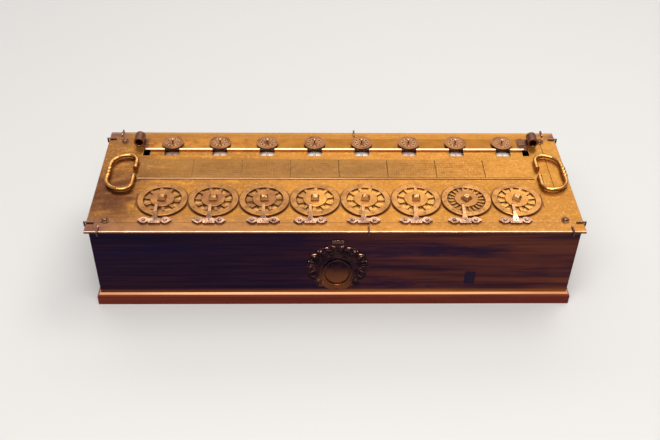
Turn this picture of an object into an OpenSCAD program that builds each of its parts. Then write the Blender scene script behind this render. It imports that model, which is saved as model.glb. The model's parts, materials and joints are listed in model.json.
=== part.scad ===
// Mechanical calculator with eight spoked dials, in millimetres.
// The origin is at the middle of the resting face, +X runs along the row of dials
// and +Z points up. Distances called "from the front" start at the top plate's front edge.

/* [Case] */
// Length of the top plate and the base board
case_l = 360; // [356:1:400]
// Depth of the top plate and the base board, front to back
case_w = 122; // [121:1:150]
// Height of the top plate's upper face
case_h = 74; // [72:1:95]
// Thickness of the base board
base_t = 10.4; // [6:0.2:12]
// Width of the bevel round the base board's top edge
base_bevel = 2.4; // [0.5:0.1:2.6]
// Thickness of the wooden boards
board_t = 6; // [4:0.5:8]
// How far the boards stand in from the top plate's edge
board_inset = 2.7; // [2:0.1:3.5]
// Thickness of the top plate
plate_t = 2; // [1.5:0.1:3]
// Bevel along the top plate's upper edges
plate_bevel = 0.4; // [0.1:0.1:0.8]
// Length of the plate at each end that the dials' fields leave free
end_margin = 29.6; // [29:0.1:31]

/* [Dials] */
// How far the row of dials is shifted to the right
row_shift = 3.4; // [0:0.2:5]
// Distance of the dials' centres from the front
dial_y = 34.8; // [33.5:0.1:36]
// Gap between neighbouring rings
ring_gap = 0.6; // [0.4:0.1:2]
// Width of the fixed ring round a dial
ring_w = 4.35; // [4:0.05:5]
// Height of the fixed ring above the top plate
ring_t = 1.5; // [1:0.1:2.5]
// Gap between the spoked wheel and its well
wheel_gap = 0.3; // [0.2:0.05:0.6]
// Depth of the floor between the spokes, under the ring's face
floor_depth = 1.3; // [1:0.1:1.8]
// Diameter of the raised disc in the middle of a wheel
hub_d = 17.8; // [14:0.2:19]
// Height of the raised disc above the ring
hub_rise = 0.7; // [0.2:0.1:2]
// Width of a spoke on the wheels with ten spokes
spoke_w_10 = 2.4; // [1.5:0.1:3.5]
// Width of a spoke on the wheel with twelve spokes
spoke_w_12 = 2.2; // [1.5:0.1:3]
// Width of a spoke on the wheel with twenty spokes
spoke_w_20 = 1.5; // [1:0.1:1.8]
// Width of the square nut on a wheel
nut_w = 6.2; // [4:0.1:6.6]
// Height of the square nut
nut_h = 2.8; // [1.5:0.1:4]

/* [Stylus stops] */
// Distance of the stops' screws from the front
stop_y = 11.5; // [10:0.1:11.5]
// Distance of a stop's screws from its middle
stop_wing = 7.8; // [7:0.1:8.6]
// Thickness of a stop's wings
stop_t = 1.4; // [1:0.1:2]
// Width of the finger where it leaves the stop
finger_root_w = 4.8; // [3:0.1:5]
// Width of the finger's tip
finger_tip_w = 1.7; // [1:0.1:2.2]
// Distance of the finger's tip from the front
finger_tip_y = 28; // [26:0.1:29.5]
// Thickness of the finger
finger_t = 1.2; // [0.8:0.1:2]
// Gap between the finger and what lies under it
finger_gap = 0.35; // [0.3:0.05:1]

/* [Windows and sliding bar] */
// Width of a window
window_w = 11.3; // [8:0.1:14]
// Length of a window, front to back
window_l = 20.4; // [19:0.1:20.8]
// Distance of the windows' front edge from the rear
window_rear = 31.8; // [31.4:0.1:33]
// Distance of the left guide slot from the plate's left end
left_slot_in = 32.2; // [31:0.1:33]
// Distance of the right guide slot from the plate's right end
right_slot_in = 27.1; // [26:0.1:28]
// How much longer the sliding bar's lip is than the distance between the slots
bar_over = 0.3; // [0:0.1:0.6]
// Depth of the sliding bar, front to back
bar_w = 15.1; // [14:0.1:16]
// Thickness of the sliding bar
bar_t = 1.2; // [0.8:0.1:2]
// Distance of the sliding bar's rear edge from the rear
bar_rear = 10.4; // [9:0.1:11]
// How far the bar slides towards the front
bar_travel = 6.4; // [5:0.1:7]
// Thickness of the rounded lip along the bar's front edge
lip_d = 1.9; // [1.4:0.1:2.4]
// Outer diameter of the tubes at the bar's ends
tube_d = 8.2; // [7:0.1:9]
// Bore of the tubes
tube_bore = 6; // [4:0.1:6.4]
// Length of the tubes
tube_l = 9.6; // [8:0.1:11]
// Diameter of a memory disc
memory_d = 17.1; // [14:0.1:18]
// Thickness of a memory disc
memory_t = 1; // [0.8:0.1:2]
// Circle of the small holes in a memory disc
memory_circle = 9.2; // [8:0.1:10]
// Diameter of a small hole
memory_hole = 1.3; // [1:0.1:1.8]
// Gap between the rings and the engraved strip
strip_ring_gap = 7.2; // [6:0.1:9]
// Gap between the engraved strip and the windows
strip_window_gap = 5.2; // [5:0.1:7]
// Gap between the engraved strip's left end and its first field
strip_left = 3.8; // [2:0.1:4]
// Thickness of the engraved strip
strip_t = 0.5; // [0.3:0.1:0.8]

/* [Handles and fasteners] */
// Thickness of the handles' rod
rod_d = 3.2; // [2.5:0.1:3.6]
// Diameter of the beads on a handle
bead_d = 4.4; // [3.8:0.1:5]
// Reach of a handle from its pivot to the middle of its rod
handle_reach = 19.6; // [19:0.1:20]
// Distance between the two long sides of a handle
handle_span = 42.4; // [40:0.2:43]
// Distance between a handle's two ends
handle_ends = 12; // [10:0.1:13]
// Distance of the handles' pivots from the plate's ends, before the shift
handle_in = 24.6; // [24:0.1:25]
// How far both handles are shifted to the right
handle_shift = 2.1; // [1.5:0.1:2.5]
// Radius of a handle's corners on the pivot side
handle_corner = 7; // [6:0.1:8]
// How far the handles' middle lies behind the plate's middle
handle_back = 5.4; // [2:0.1:6]
// Thickness of the wire hooks along the edges
hook_d = 1.4; // [1:0.1:1.8]
// Diameter of the corner screws' heads
knob_d = 4.6; // [3.5:0.1:6]

/* [Mechanism] */
// Diameter of the circle of pins on the crown wheels
pin_circle = 26; // [25.6:0.1:26.4]
// How far the cross shafts lie below the middle between the base board and the drums' axes
shaft_drop = 2.7; // [2.4:0.1:3]
// Diameter of the dial arbors
arbor_d = 4; // [3:0.1:5]
// Diameter of the cross shafts and drum arbors
shaft_d = 4; // [3:0.1:5]
// Running gap all round a shaft in its bearing
run_gap = 0.05; // [0.03:0.01:0.08]
// Thickness of the bearing plates
frame_t = 2.5; // [2:0.1:3]
// Thickness of the crown wheels' discs
disc_t = 2; // [1.5:0.1:2.5]
// Diameter of the number drums
drum_d = 32; // [28:0.1:32.4]
// Length of the number drums
drum_l = 22; // [20:0.1:22.4]
// Radius from a shaft to its carry pins
carry_r = 7; // [6:0.1:8]
// Length of the carry pins behind their disc
carry_pin_l = 4; // [3:0.1:5]
// Thickness of the carry levers
lever_t = 2; // [1.5:0.1:3]

/* [Hidden] */
$fn = 48;
dials = 8;
// Parts of a full turn: ten on the decimal dials, then twenty and twelve on the money dials
counts = [10, 10, 10, 10, 10, 10, 20, 12];
// How far each wheel's spokes are turned from the rear, clockwise, in degrees
spoke_turn = [27, 23, 11, 3, 19, 3, 13, 22];
// How far each wheel's square nut is turned from the rear, clockwise, in degrees
nut_turn = [5, 0, -6, 3, 12, 4, 45, 26];
// How far each stop sits to the left of its dial
stop_shift = [3, 1.5, 0, 3.5, 2.5, 2, 4, 4.5];

// Heights
plate_under = case_h - plate_t;
ring_top = case_h + ring_t;
floor_z = ring_top - floor_depth;
hub_top = ring_top + hub_rise;
hub_bevel = 0.3;
spoke_top = ring_top - 0.2;
wheel_back_t = 1.6;
finger_z = hub_top + finger_gap;
bar_z = case_h + 0.1;
lip_z = bar_z + lip_d / 2;
memory_z = bar_z + lip_d + 0.15;
drum_gap = 1;
drum_z = plate_under - drum_gap - drum_d / 2;
shaft_z = (base_t + drum_z) / 2 - shaft_drop;
// The lantern and its toothed wheel meet between the two axes, so this circle is that distance
lantern_circle = drum_z - shaft_z;

// Places along X
edge_x = case_l / 2;
board_x = edge_x - board_inset;
inner_x = board_x - board_t;
dial_pitch = (case_l - 2 * end_margin) / dials;
ring_d = dial_pitch - ring_gap;
well_d = ring_d - 2 * ring_w;
left_slot_x = left_slot_in - edge_x;
right_slot_x = edge_x - right_slot_in;
bar_l = right_slot_x - left_slot_x + bar_over;
function dial_x(i) = row_shift + (i - (dials + 1) / 2) * dial_pitch;
first_x = dial_x(1);
last_x = dial_x(dials);

// Places along Y, from the front edge
front_y = -case_w / 2;
rear_y = case_w / 2;
board_y = rear_y - board_inset;
inner_y = board_y - board_t;
dial_cy = front_y + dial_y;
mesh_y = dial_cy + pin_circle / 2;
mesh_depth = 2.5;
face_gap = 4.2;
face_y = mesh_y + face_gap;

// Places along Y, from the rear edge
window_y = rear_y - window_rear;
drum_frame_t = 1.5;
drum_frame_y = inner_y - 0.2 - drum_frame_t;
drum_y = drum_frame_y - 0.6 - drum_l;
lantern_disc_t = 1.1;
lantern_gap = 0.5;
gear_t = 2.7;
lantern_y = drum_y - lantern_gap - lantern_disc_t;
gear_y = lantern_y - lantern_gap - gear_t;
lantern_front_y = gear_y - lantern_gap - lantern_disc_t;
bar_y = rear_y - bar_rear - bar_w;
memory_y = rear_y - bar_rear - bar_w / 2;
guide_l = 8;
tongue_y = memory_y - guide_l / 2;

// The bearing plates and the carry levers share the room between the front wheels and the lanterns
carry_disc_t = 1.5;
lever_gap = 0.8;
lever_boss = 1;
filled = 2 * frame_t + carry_disc_t + carry_pin_l + lever_gap + lever_t + lever_boss;
train_gap = (lantern_front_y - face_y - disc_t - filled) / 4;
front_frame_y = face_y + disc_t + train_gap;
carry_y = front_frame_y + frame_t + train_gap;
lever_y = carry_y + carry_disc_t + carry_pin_l + lever_gap;
rear_frame_y = lever_y + lever_t + lever_boss + train_gap;

// Pins and teeth
function step(i) = 360 / counts[i - 1];
function pin_r(i, circle) = 0.18 * PI * circle / counts[i - 1];
pin_clear = 3;
crown_z = shaft_z + pin_circle / 2 + pin_clear;
pin_rim = 0.9;
carry_pin_d = 2.4;

// Handles
pivot_z = case_h + bead_d / 2 + 0.2;
handle_x = edge_x - handle_in;
end_pin_d = 2;
eye_d = 3.6;

// Cylinder along +Y from y = 0
module rod_y(d, l) {
    rotate([-90, 0, 0])
        cylinder(d = d, h = l);
}

// Bar of a profile drawn in Y and Z, along X
module along_x(l) {
    rotate([90, 0, 90])
        linear_extrude(l, center = true)
            children();
}

// Bar of a profile drawn in X and Z, along Y
module along_y(l) {
    rotate([90, 0, 0])
        linear_extrude(l, center = true)
            children();
}

// Outline of a board of width w and height h with its two upper corners bevelled
module bevelled(w, h, bevel) {
    polygon([[-w / 2, 0], [w / 2, 0], [w / 2, h - bevel], [w / 2 - bevel, h],
             [bevel - w / 2, h], [-w / 2, h - bevel]]);
}

// Flat slab with bevelled upper edges on all four sides
module slab(l, w, h, bevel) {
    intersection() {
        along_x(l)
            bevelled(w, h, bevel);
        along_y(w)
            bevelled(l, h, bevel);
    }
}

module base_board() {
    color("saddlebrown")
        slab(case_l, case_w, base_t, base_bevel);
}

module long_board(y) {
    color("saddlebrown")
        translate([-board_x, y, base_t])
            cube([2 * board_x, board_t, plate_under - base_t]);
}

module end_board(x) {
    color("saddlebrown")
        translate([x, -inner_y, base_t])
            cube([board_t, 2 * inner_y, plate_under - base_t]);
}

// Slots in the top plate for the guide tongues of the sliding bar, which needs room to slide
slot_w = 5.2;
slot_spare = 3.3;
slot_l = guide_l + bar_travel + 2 * slot_spare;
slot_y = tongue_y - bar_travel - slot_spare;

module plate_holes() {
    for (i = [1:dials]) {
        translate([dial_x(i), dial_cy, 0])
            cylinder(d = well_d, h = case_h + 1);
        translate([dial_x(i) - window_w / 2, window_y, 0])
            cube([window_w, window_l, case_h + 1]);
    }
    for (x = [left_slot_x, right_slot_x])
        translate([x - slot_w / 2, slot_y, 0])
            cube([slot_w, slot_l, case_h + 1]);
    at_stop_screws()
        cylinder(d = screw_d + 2 * run_gap, h = case_h + 1);
    at_knobs()
        cylinder(d = knob_shank_d + 2 * run_gap, h = case_h + 1);
}

module top_plate() {
    color("goldenrod")
        difference() {
            translate([0, 0, plate_under])
                slab(case_l, case_w, plate_t, plate_bevel);
            plate_holes();
        }
}

// Flat fixed ring with a small bevel on its outer and inner edge
ring_bevel = 0.35;

module dial_rings() {
    r1 = well_d / 2;
    r2 = ring_d / 2;
    color("darkgoldenrod")
        for (i = [1:dials])
            translate([dial_x(i), dial_cy, case_h])
                rotate_extrude($fn = 96)
                    polygon([[r1, 0], [r2, 0], [r2, ring_t - ring_bevel], [r2 - ring_bevel, ring_t],
                             [r1 + ring_bevel / 2, ring_t], [r1, ring_t - ring_bevel / 2]]);
}

// Square nut that slopes in to a smaller square top, as the crossing of two side views
nut_wall = 0.7;
nut_top_w = 3.4;

module square_nut(w, h) {
    gable = [[-w / 2, 0], [w / 2, 0], [w / 2, nut_wall], [nut_top_w / 2, h],
             [-nut_top_w / 2, h], [-w / 2, nut_wall]];
    intersection() {
        along_x(w)
            polygon(gable);
        along_y(w)
            polygon(gable);
    }
}

function spoke_w(n) = n == 20 ? spoke_w_20 : n == 12 ? spoke_w_12 : spoke_w_10;

module spoked_wheel(i) {
    n = counts[i - 1];
    wheel_r = well_d / 2 - wheel_gap;
    translate([0, 0, floor_z - wheel_back_t])
        cylinder(r = wheel_r, h = wheel_back_t);
    rotate_extrude()
        polygon([[0, floor_z - 0.01], [hub_d / 2, floor_z - 0.01], [hub_d / 2, hub_top - hub_bevel],
                 [hub_d / 2 - hub_bevel, hub_top], [0, hub_top]]);
    intersection() {
        translate([0, 0, floor_z - 0.01])
            cylinder(r = wheel_r, h = spoke_top - floor_z + 0.01);
        for (k = [0:n - 1])
            rotate([0, 0, k * 360 / n - spoke_turn[i - 1]])
                translate([-spoke_w(n) / 2, hub_d / 2 - 1, floor_z - 0.01])
                    cube([spoke_w(n), wheel_r, spoke_top - floor_z + 0.02]);
    }
    rotate([0, 0, -nut_turn[i - 1]])
        translate([0, 0, hub_top - 0.01])
            square_nut(nut_w, nut_h);
}

// Spoked wheel on its arbor, with the crown of pins that hangs under it
module dial_wheel(i) {
    r = pin_r(i, pin_circle);
    crown_r = pin_circle / 2 + r + pin_rim;
    color("goldenrod")
        translate([dial_x(i), dial_cy, 0]) {
            spoked_wheel(i);
            translate([0, 0, crown_z])
                cylinder(d = arbor_d, h = floor_z - wheel_back_t - crown_z + 0.01);
            translate([0, 0, crown_z])
                cylinder(r = crown_r, h = disc_t);
            for (k = [0:counts[i - 1] - 1])
                rotate([0, 0, k * step(i)])
                    translate([0, pin_circle / 2, crown_z - pin_clear - mesh_depth])
                        cylinder(r = r, h = pin_clear + mesh_depth + 0.01, $fn = 24);
        }
}

// Cross shaft: the pin wheel that meets the crown, the carry pins, and the rear lantern
module cross_shaft(i) {
    r = pin_r(i, pin_circle);
    wheel_r = pin_circle / 2 + r + pin_rim;
    lantern_pin_r = pin_r(i, lantern_circle);
    lantern_r = lantern_circle / 2 + lantern_pin_r + pin_rim;
    color("peru")
        translate([dial_x(i), 0, shaft_z]) {
            translate([0, face_y, 0])
                rod_y(shaft_d, drum_frame_y + drum_frame_t - face_y);
            translate([0, face_y, 0])
                rod_y(2 * wheel_r, disc_t);
            for (k = [0:counts[i - 1] - 1])
                rotate([0, (k + 0.5) * step(i), 0])
                    translate([0, mesh_y - mesh_depth, pin_circle / 2])
                        rod_y(2 * r, face_gap + mesh_depth + 0.01, $fn = 24);
            for (y = [lantern_front_y, lantern_y])
                translate([0, y, 0])
                    rod_y(2 * lantern_r, lantern_disc_t);
            for (k = [0:counts[i - 1] - 1])
                rotate([0, (k + 0.5) * step(i), 0])
                    translate([0, lantern_front_y + 0.1, lantern_circle / 2])
                        rod_y(2 * lantern_pin_r, lantern_y - lantern_front_y, $fn = 24);
            if (i > 1) {
                translate([0, carry_y, 0])
                    rod_y(2 * carry_r + carry_pin_d + 1.4, carry_disc_t);
                for (side = [-1, 1])
                    translate([0, carry_y, side * carry_r])
                        rod_y(carry_pin_d, carry_disc_t + carry_pin_l, $fn = 24);
            }
        }
}

// One tooth of the wheel on a drum, drawn pointing along -Z of the wheel's plane
module gear_tooth(pitch, pin_radius) {
    r = lantern_circle / 2;
    root = r - pin_radius - 0.5;
    tip = r + 0.26 * pitch;
    half_root = 0.25 * pitch;
    half_mid = 0.22 * pitch;
    half_tip = 0.11 * pitch;
    polygon([[-half_root, 1 - root], [-half_mid, -r], [-half_tip, -tip],
             [half_tip, -tip], [half_mid, -r], [half_root, 1 - root]]);
}

// Number drum with its arbor and the toothed wheel that its lantern drives
module number_drum(i) {
    n = counts[i - 1];
    pitch = PI * lantern_circle / n;
    pin_radius = pin_r(i, lantern_circle);
    color("antiquewhite")
        translate([dial_x(i), 0, drum_z]) {
            translate([0, drum_y, 0])
                rod_y(drum_d, drum_l, $fn = 96);
            translate([0, rear_frame_y, 0])
                rod_y(shaft_d, drum_frame_y + drum_frame_t - rear_frame_y);
            translate([0, gear_y, 0])
                rod_y(lantern_circle - 2 * pin_radius - 1, gear_t);
            translate([0, gear_y + gear_t / 2, 0])
                along_y(gear_t)
                    for (k = [0:n - 1])
                        rotate(k * 360 / n)
                            gear_tooth(pitch, pin_radius);
        }
}

// Carry lever of digit i: it hangs on that digit's shaft and reaches to the next lower digit
lever_hub_d = 9;
lever_h = 4.2;
tongue_gap = 0.6;
tongue_l = 4;
weight_l = 7;
weight_drop = 4;

module carry_lever(i) {
    reach = dial_pitch - carry_r - carry_pin_d / 2 - tongue_gap;
    color("darkgoldenrod")
        translate([dial_x(i), 0, shaft_z])
            difference() {
                union() {
                    translate([0, lever_y, 0])
                        rod_y(lever_hub_d, lever_t + lever_boss);
                    translate([0, lever_y, -lever_h / 2])
                        cube([reach, lever_t, lever_h]);
                    translate([reach - tongue_l, lever_y - carry_pin_l, -lever_h / 2])
                        cube([tongue_l, carry_pin_l + lever_t, lever_h]);
                    translate([reach - tongue_l / 2 - weight_l, lever_y, -lever_h / 2 - weight_drop])
                        cube([weight_l, lever_t, lever_h]);
                }
                translate([0, lever_y - 1, 0])
                    rod_y(shaft_d + 2 * run_gap, lever_t + 4);
            }
}

// Front bearing plate with the shelf that carries the dial arbors
shelf_gap = 2;
shelf_z = crown_z + disc_t + shelf_gap;
shelf_t = 2.5;
bush_d = 9;
bush_h = 4;
shelf_margin = 3;

module front_bearing_plate() {
    shelf_y = dial_cy - bush_d / 2 - shelf_margin;
    color("tan")
        difference() {
            union() {
                translate([-inner_x, front_frame_y, base_t])
                    cube([2 * inner_x, frame_t, shelf_z + shelf_t - base_t]);
                translate([-inner_x, shelf_y, shelf_z])
                    cube([2 * inner_x, front_frame_y - shelf_y + frame_t, shelf_t]);
                for (i = [1:dials])
                    translate([dial_x(i), dial_cy, shelf_z])
                        cylinder(d = bush_d, h = shelf_t + bush_h);
            }
            for (i = [1:dials]) {
                translate([dial_x(i), dial_cy, shelf_z - 1])
                    cylinder(d = arbor_d + 2 * run_gap, h = shelf_t + bush_h + 2);
                translate([dial_x(i), front_frame_y - 1, shaft_z])
                    rod_y(shaft_d + 2 * run_gap, frame_t + 2);
            }
        }
}

// Rear bearing plate with a pin under each carry lever, on which the lever rests
rest_d = 2.4;

module rear_bearing_plate() {
    color("tan") {
        difference() {
            translate([-inner_x, rear_frame_y, base_t])
                cube([2 * inner_x, frame_t, plate_under - drum_gap - base_t]);
            for (i = [1:dials])
                for (z = [shaft_z, drum_z])
                    translate([dial_x(i), rear_frame_y - 1, z])
                        rod_y(shaft_d + 2 * run_gap, frame_t + 2);
        }
        for (i = [1:dials - 1])
            translate([dial_x(i) + dial_pitch / 3, lever_y, shaft_z - lever_h / 2 - 0.3 - rest_d / 2])
                rod_y(rest_d, rear_frame_y - lever_y);
    }
}

module drum_bearing_plate() {
    color("tan")
        difference() {
            translate([-inner_x, drum_frame_y, base_t])
                cube([2 * inner_x, drum_frame_t, plate_under - drum_gap - base_t]);
            for (i = [1:dials])
                for (z = [shaft_z, drum_z])
                    translate([dial_x(i), drum_frame_y - 1, z])
                        rod_y(shaft_d + 2 * run_gap, drum_frame_t + 2);
        }
}

// Outline of a stop: a middle with a broad foot, and a round lobe with a small tip on each side
stop_mid_d = 6.2;
stop_lobe_d = 6.6;
stop_tip_d = 2.4;
stop_neck_w = 3;
stop_foot_l = 8.4;
stop_foot_w = 2.4;

module stop_outline() {
    circle(d = stop_mid_d);
    square([2 * stop_wing, stop_neck_w], center = true);
    translate([-stop_foot_l / 2, -stop_mid_d / 2 - 0.2])
        square([stop_foot_l, stop_foot_w]);
    for (side = [-1, 1])
        translate([side * stop_wing, 0]) {
            circle(d = stop_lobe_d);
            translate([side * stop_lobe_d / 2, 0])
                circle(d = stop_tip_d);
        }
}

screw_d = 1.5;
screw_head_d = 3;
screw_head_h = 0.9;

module at_stops() {
    for (i = [1:dials])
        translate([dial_x(i) - stop_shift[i - 1], front_y + stop_y, 0])
            children();
}

module at_stop_screws() {
    at_stops()
        for (side = [-1, 1])
            translate([side * stop_wing, 0, 0])
                children();
}

// Finger over the ring and the hub: a tapered plan crossed with a stepped side view
finger_neck_w = 2.5;
finger_neck_y = 4.8;
finger_rise_y = 7;
finger_back = 2.4;
finger_hole_d = 1.1;

module stop_finger() {
    tip = finger_tip_y - stop_y;
    step_y = dial_y - ring_d / 2 - stop_y - finger_gap;
    top = finger_z + finger_t;
    intersection() {
        linear_extrude(top + 1)
            polygon([[-finger_root_w / 2, -finger_back], [finger_root_w / 2, -finger_back],
                     [finger_root_w / 2, 0], [finger_neck_w / 2, finger_neck_y],
                     [finger_tip_w / 2, tip], [-finger_tip_w / 2, tip],
                     [-finger_neck_w / 2, finger_neck_y], [-finger_root_w / 2, 0]]);
        along_x(finger_root_w + 2)
            polygon([[-finger_back, case_h], [step_y, case_h], [step_y, ring_top + finger_gap],
                     [finger_rise_y, finger_z], [tip, finger_z], [tip, top - 0.5], [tip - 1.5, top],
                     [finger_rise_y, top], [1, case_h + stop_t + 0.5],
                     [-finger_back, case_h + stop_t + 0.3]]);
    }
}

module stylus_stops() {
    color("rosybrown")
        difference() {
            at_stops() {
                translate([0, 0, case_h])
                    linear_extrude(stop_t)
                        stop_outline();
                stop_finger();
            }
            at_stop_screws()
                cylinder(d = screw_d + 2 * run_gap, h = 2 * case_h);
            at_stops()
                cylinder(d = finger_hole_d, h = 2 * case_h, $fn = 24);
        }
}

module stop_screws() {
    color("peru")
        at_stop_screws() {
            translate([0, 0, plate_under])
                cylinder(d = screw_d, h = plate_t + stop_t + 0.1);
            difference() {
                translate([0, 0, case_h + stop_t])
                    cylinder(d1 = screw_head_d, d2 = screw_head_d - 0.7, h = screw_head_h);
                translate([-screw_head_d, -0.2, case_h + stop_t + screw_head_h - 0.4])
                    cube([2 * screw_head_d, 0.4, 1]);
            }
        }
}

// Engraved strip: one field for each digit, with a groove between neighbours
strip_groove = 0.5;

module engraved_strip() {
    x1 = first_x - dial_pitch / 2 - strip_left;
    x2 = last_x + dial_pitch / 2 - 0.2;
    y1 = dial_cy + ring_d / 2 + strip_ring_gap;
    strip_w = window_y - strip_window_gap - y1;
    color("gold")
        difference() {
            translate([x1, y1, case_h])
                cube([x2 - x1, strip_w, strip_t]);
            for (i = [1:dials - 1])
                translate([dial_x(i) + (dial_pitch - strip_groove) / 2, y1 + 1, case_h + strip_t - 0.25])
                    cube([strip_groove, strip_w - 2, 1]);
            translate([x1 + 1, y1 + 1, case_h + strip_t - 0.25])
                cube([x2 - x1 - 2, strip_groove, 1]);
        }
}

// Bar over the windows, with a rounded lip, tubes at its ends and guide tongues under them
tongue_w = 4.6;
tube_reach = 6.6;
bar_end = 1.5;
memory_pin_d = 2.4;
lug_w = 5;
lug_l = 6.5;
lug_h = 2.4;

module sliding_bar() {
    tube_z = bar_z + tube_d / 2;
    tube_y = rear_y - bar_rear - tube_l;
    foot_z = plate_under - 1.6;
    mid_x = (left_slot_x + right_slot_x) / 2;
    color("darkgoldenrod")
        difference() {
            union() {
                translate([mid_x - bar_l / 2 - bar_end, bar_y, bar_z])
                    cube([bar_l + 2 * bar_end, bar_w, bar_t]);
                translate([mid_x - bar_l / 2 - tube_reach, tube_y, bar_z])
                    cube([bar_l + 2 * tube_reach, tube_l, bar_t]);
                translate([mid_x - bar_l / 2, bar_y + lip_d / 2, lip_z])
                    rotate([0, 90, 0])
                        cylinder(d = lip_d, h = bar_l);
                for (side = [-1, 1]) {
                    translate([mid_x + side * (bar_l / 2 + tube_reach), tube_y, tube_z])
                        rod_y(tube_d, tube_l);
                    translate([mid_x + side * (bar_l / 2 - lug_w / 2) - lug_w / 2, tube_y, bar_z])
                        cube([lug_w, lug_l, lug_h]);
                    translate([mid_x + side * (bar_l / 2 - lug_w / 2), tube_y + lug_l, bar_z])
                        cylinder(d = lug_w, h = lug_h);
                }
                for (x = [left_slot_x, right_slot_x]) {
                    translate([x - tongue_w / 2, tongue_y, foot_z])
                        cube([tongue_w, guide_l, bar_z + bar_t - foot_z]);
                    translate([x - tongue_w / 2 - 1.5, tongue_y, foot_z])
                        cube([tongue_w + 3, guide_l, 1.3]);
                }
            }
            for (side = [-1, 1])
                translate([mid_x + side * (bar_l / 2 + tube_reach), tube_y - 1, tube_z])
                    rod_y(tube_bore, tube_l - 0.5);
            for (i = [1:dials])
                translate([dial_x(i), memory_y, 0])
                    cylinder(d = memory_pin_d + 2 * run_gap, h = 2 * case_h);
        }
}

// Memory disc: small holes round a pin that turns in the bar and ends in a small ball
memory_holes = 10;
memory_stem_d = 1.2;
memory_stem_h = 2.4;
memory_ball_d = 2;

module memory_disc(i) {
    color("peru")
        translate([dial_x(i), memory_y, 0]) {
            difference() {
                translate([0, 0, memory_z])
                    cylinder(d = memory_d, h = memory_t);
                for (k = [0:memory_holes - 1])
                    rotate([0, 0, (k + 0.5) * 360 / memory_holes])
                        translate([0, memory_circle / 2, memory_z - 1])
                            cylinder(d = memory_hole, h = memory_t + 2, $fn = 24);
            }
            translate([0, 0, bar_z])
                cylinder(d = memory_pin_d, h = memory_z + memory_t - bar_z);
            translate([0, 0, memory_z + memory_t - 0.01])
                cylinder(d = memory_stem_d, h = memory_stem_h);
            translate([0, 0, memory_z + memory_t + memory_stem_h])
                sphere(d = memory_ball_d);
        }
}

// Quarter bend of the handle's rod, centred on the bend's own centre
module bend(r, turn) {
    rotate([0, 0, turn])
        rotate_extrude(angle = 90, $fn = 96)
            translate([r, 0])
                circle(d = rod_d);
}

// Drop handle drawn flat, its ends on the Y axis and its body towards +X. A small bend leads from
// each straight end to a wide bend, and that leads to the straight grip, which carries the beads.
end_pin_l = 1.8;
bead_pitch = 4.1;
corner_y = handle_span / 2 - handle_corner;
wide_r = handle_reach - handle_corner;
wide_y = handle_span / 2 - wide_r;

module handle_shape() {
    for (side = [-1, 1])
        mirrored_y(side) {
            translate([0, handle_ends / 2 - end_pin_l, 0])
                rod_y(end_pin_d, end_pin_l + 0.5);
            translate([0, handle_ends / 2, 0])
                rod_y(rod_d, corner_y - handle_ends / 2);
            translate([handle_corner, corner_y, 0])
                bend(handle_corner, 90);
            translate([handle_corner, wide_y, 0])
                bend(wide_r, 0);
            translate([handle_reach, 0, 0])
                rod_y(rod_d, wide_y);
        }
    for (k = [-1:1])
        translate([handle_reach, k * bead_pitch, 0])
            sphere(d = bead_d);
}

// The second of a mirrored pair lies on the other side of the X axis
module mirrored_y(side) {
    mirror([0, side < 0 ? 1 : 0, 0])
        children();
}

module handle(side) {
    color("gold")
        translate([handle_shift + side * handle_x, handle_back, pivot_z])
            mirror([side < 0 ? 1 : 0, 0, 0])
                handle_shape();
}

// Small eyes in which the ends of the handles turn
eye_t = 1;
eye_gap = 0.3;
eye_y = handle_ends / 2 - eye_gap - eye_t;

module handle_eyes() {
    color("goldenrod")
        for (side = [-1, 1])
            for (end = [-1, 1])
                translate([handle_shift + side * handle_x, handle_back, 0])
                    mirrored_y(end)
                        translate([0, eye_y, 0])
                            difference() {
                                union() {
                                    translate([0, 0, pivot_z])
                                        rod_y(eye_d, eye_t);
                                    translate([-eye_d / 2, 0, case_h])
                                        cube([eye_d, eye_t, pivot_z - case_h]);
                                }
                                translate([0, -1, pivot_z])
                                    rod_y(end_pin_d + 2 * run_gap, eye_t + 2);
                            }
}

// Wire hook over an edge of the plate, drawn with the edge at x = 0 and the plate towards -X
hook_in = 5;
hook_out = 1.2;
hook_drop = 0.8;

module hook() {
    top = case_h + hook_d / 2;
    low = plate_under - hook_drop;
    translate([-hook_in, 0, top])
        rotate([0, 90, 0])
            cylinder(d = hook_d, h = hook_in + hook_out);
    translate([hook_out, 0, top])
        sphere(d = hook_d);
    translate([hook_out, 0, low])
        cylinder(d = hook_d, h = top - low);
    translate([hook_out, 0, low])
        sphere(d = hook_d);
    translate([-board_inset, 0, low])
        rotate([0, 90, 0])
            cylinder(d = hook_d, h = hook_out + board_inset);
    translate([-hook_in, 0, top])
        sphere(d = hook_d);
}

corner_side_y = 9.6;
corner_end_x = 9.6;
mid_hook_front = 23;
mid_hook_rear = 16.7;

module edge_hooks() {
    color("rosybrown") {
        for (side = [0, 1])
            mirror([side, 0, 0])
                for (y = [front_y + corner_side_y, rear_y - corner_side_y])
                    translate([edge_x, y, 0])
                        hook();
        for (x = [corner_end_x - edge_x, mid_hook_front, edge_x - corner_end_x])
            translate([x, front_y, 0])
                rotate([0, 0, -90])
                    hook();
        for (x = [corner_end_x - edge_x, mid_hook_rear, edge_x - corner_end_x])
            translate([x, rear_y, 0])
                rotate([0, 0, 90])
                    hook();
    }
}

knob_shank_d = 2;
knob_h = 2.2;
knob_x = 13;
knob_y = 12.5;

module at_knobs() {
    for (sx = [-1, 1])
        for (sy = [-1, 1])
            translate([sx * (edge_x - knob_x), sy * (rear_y - knob_y), 0])
                children();
}

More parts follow.
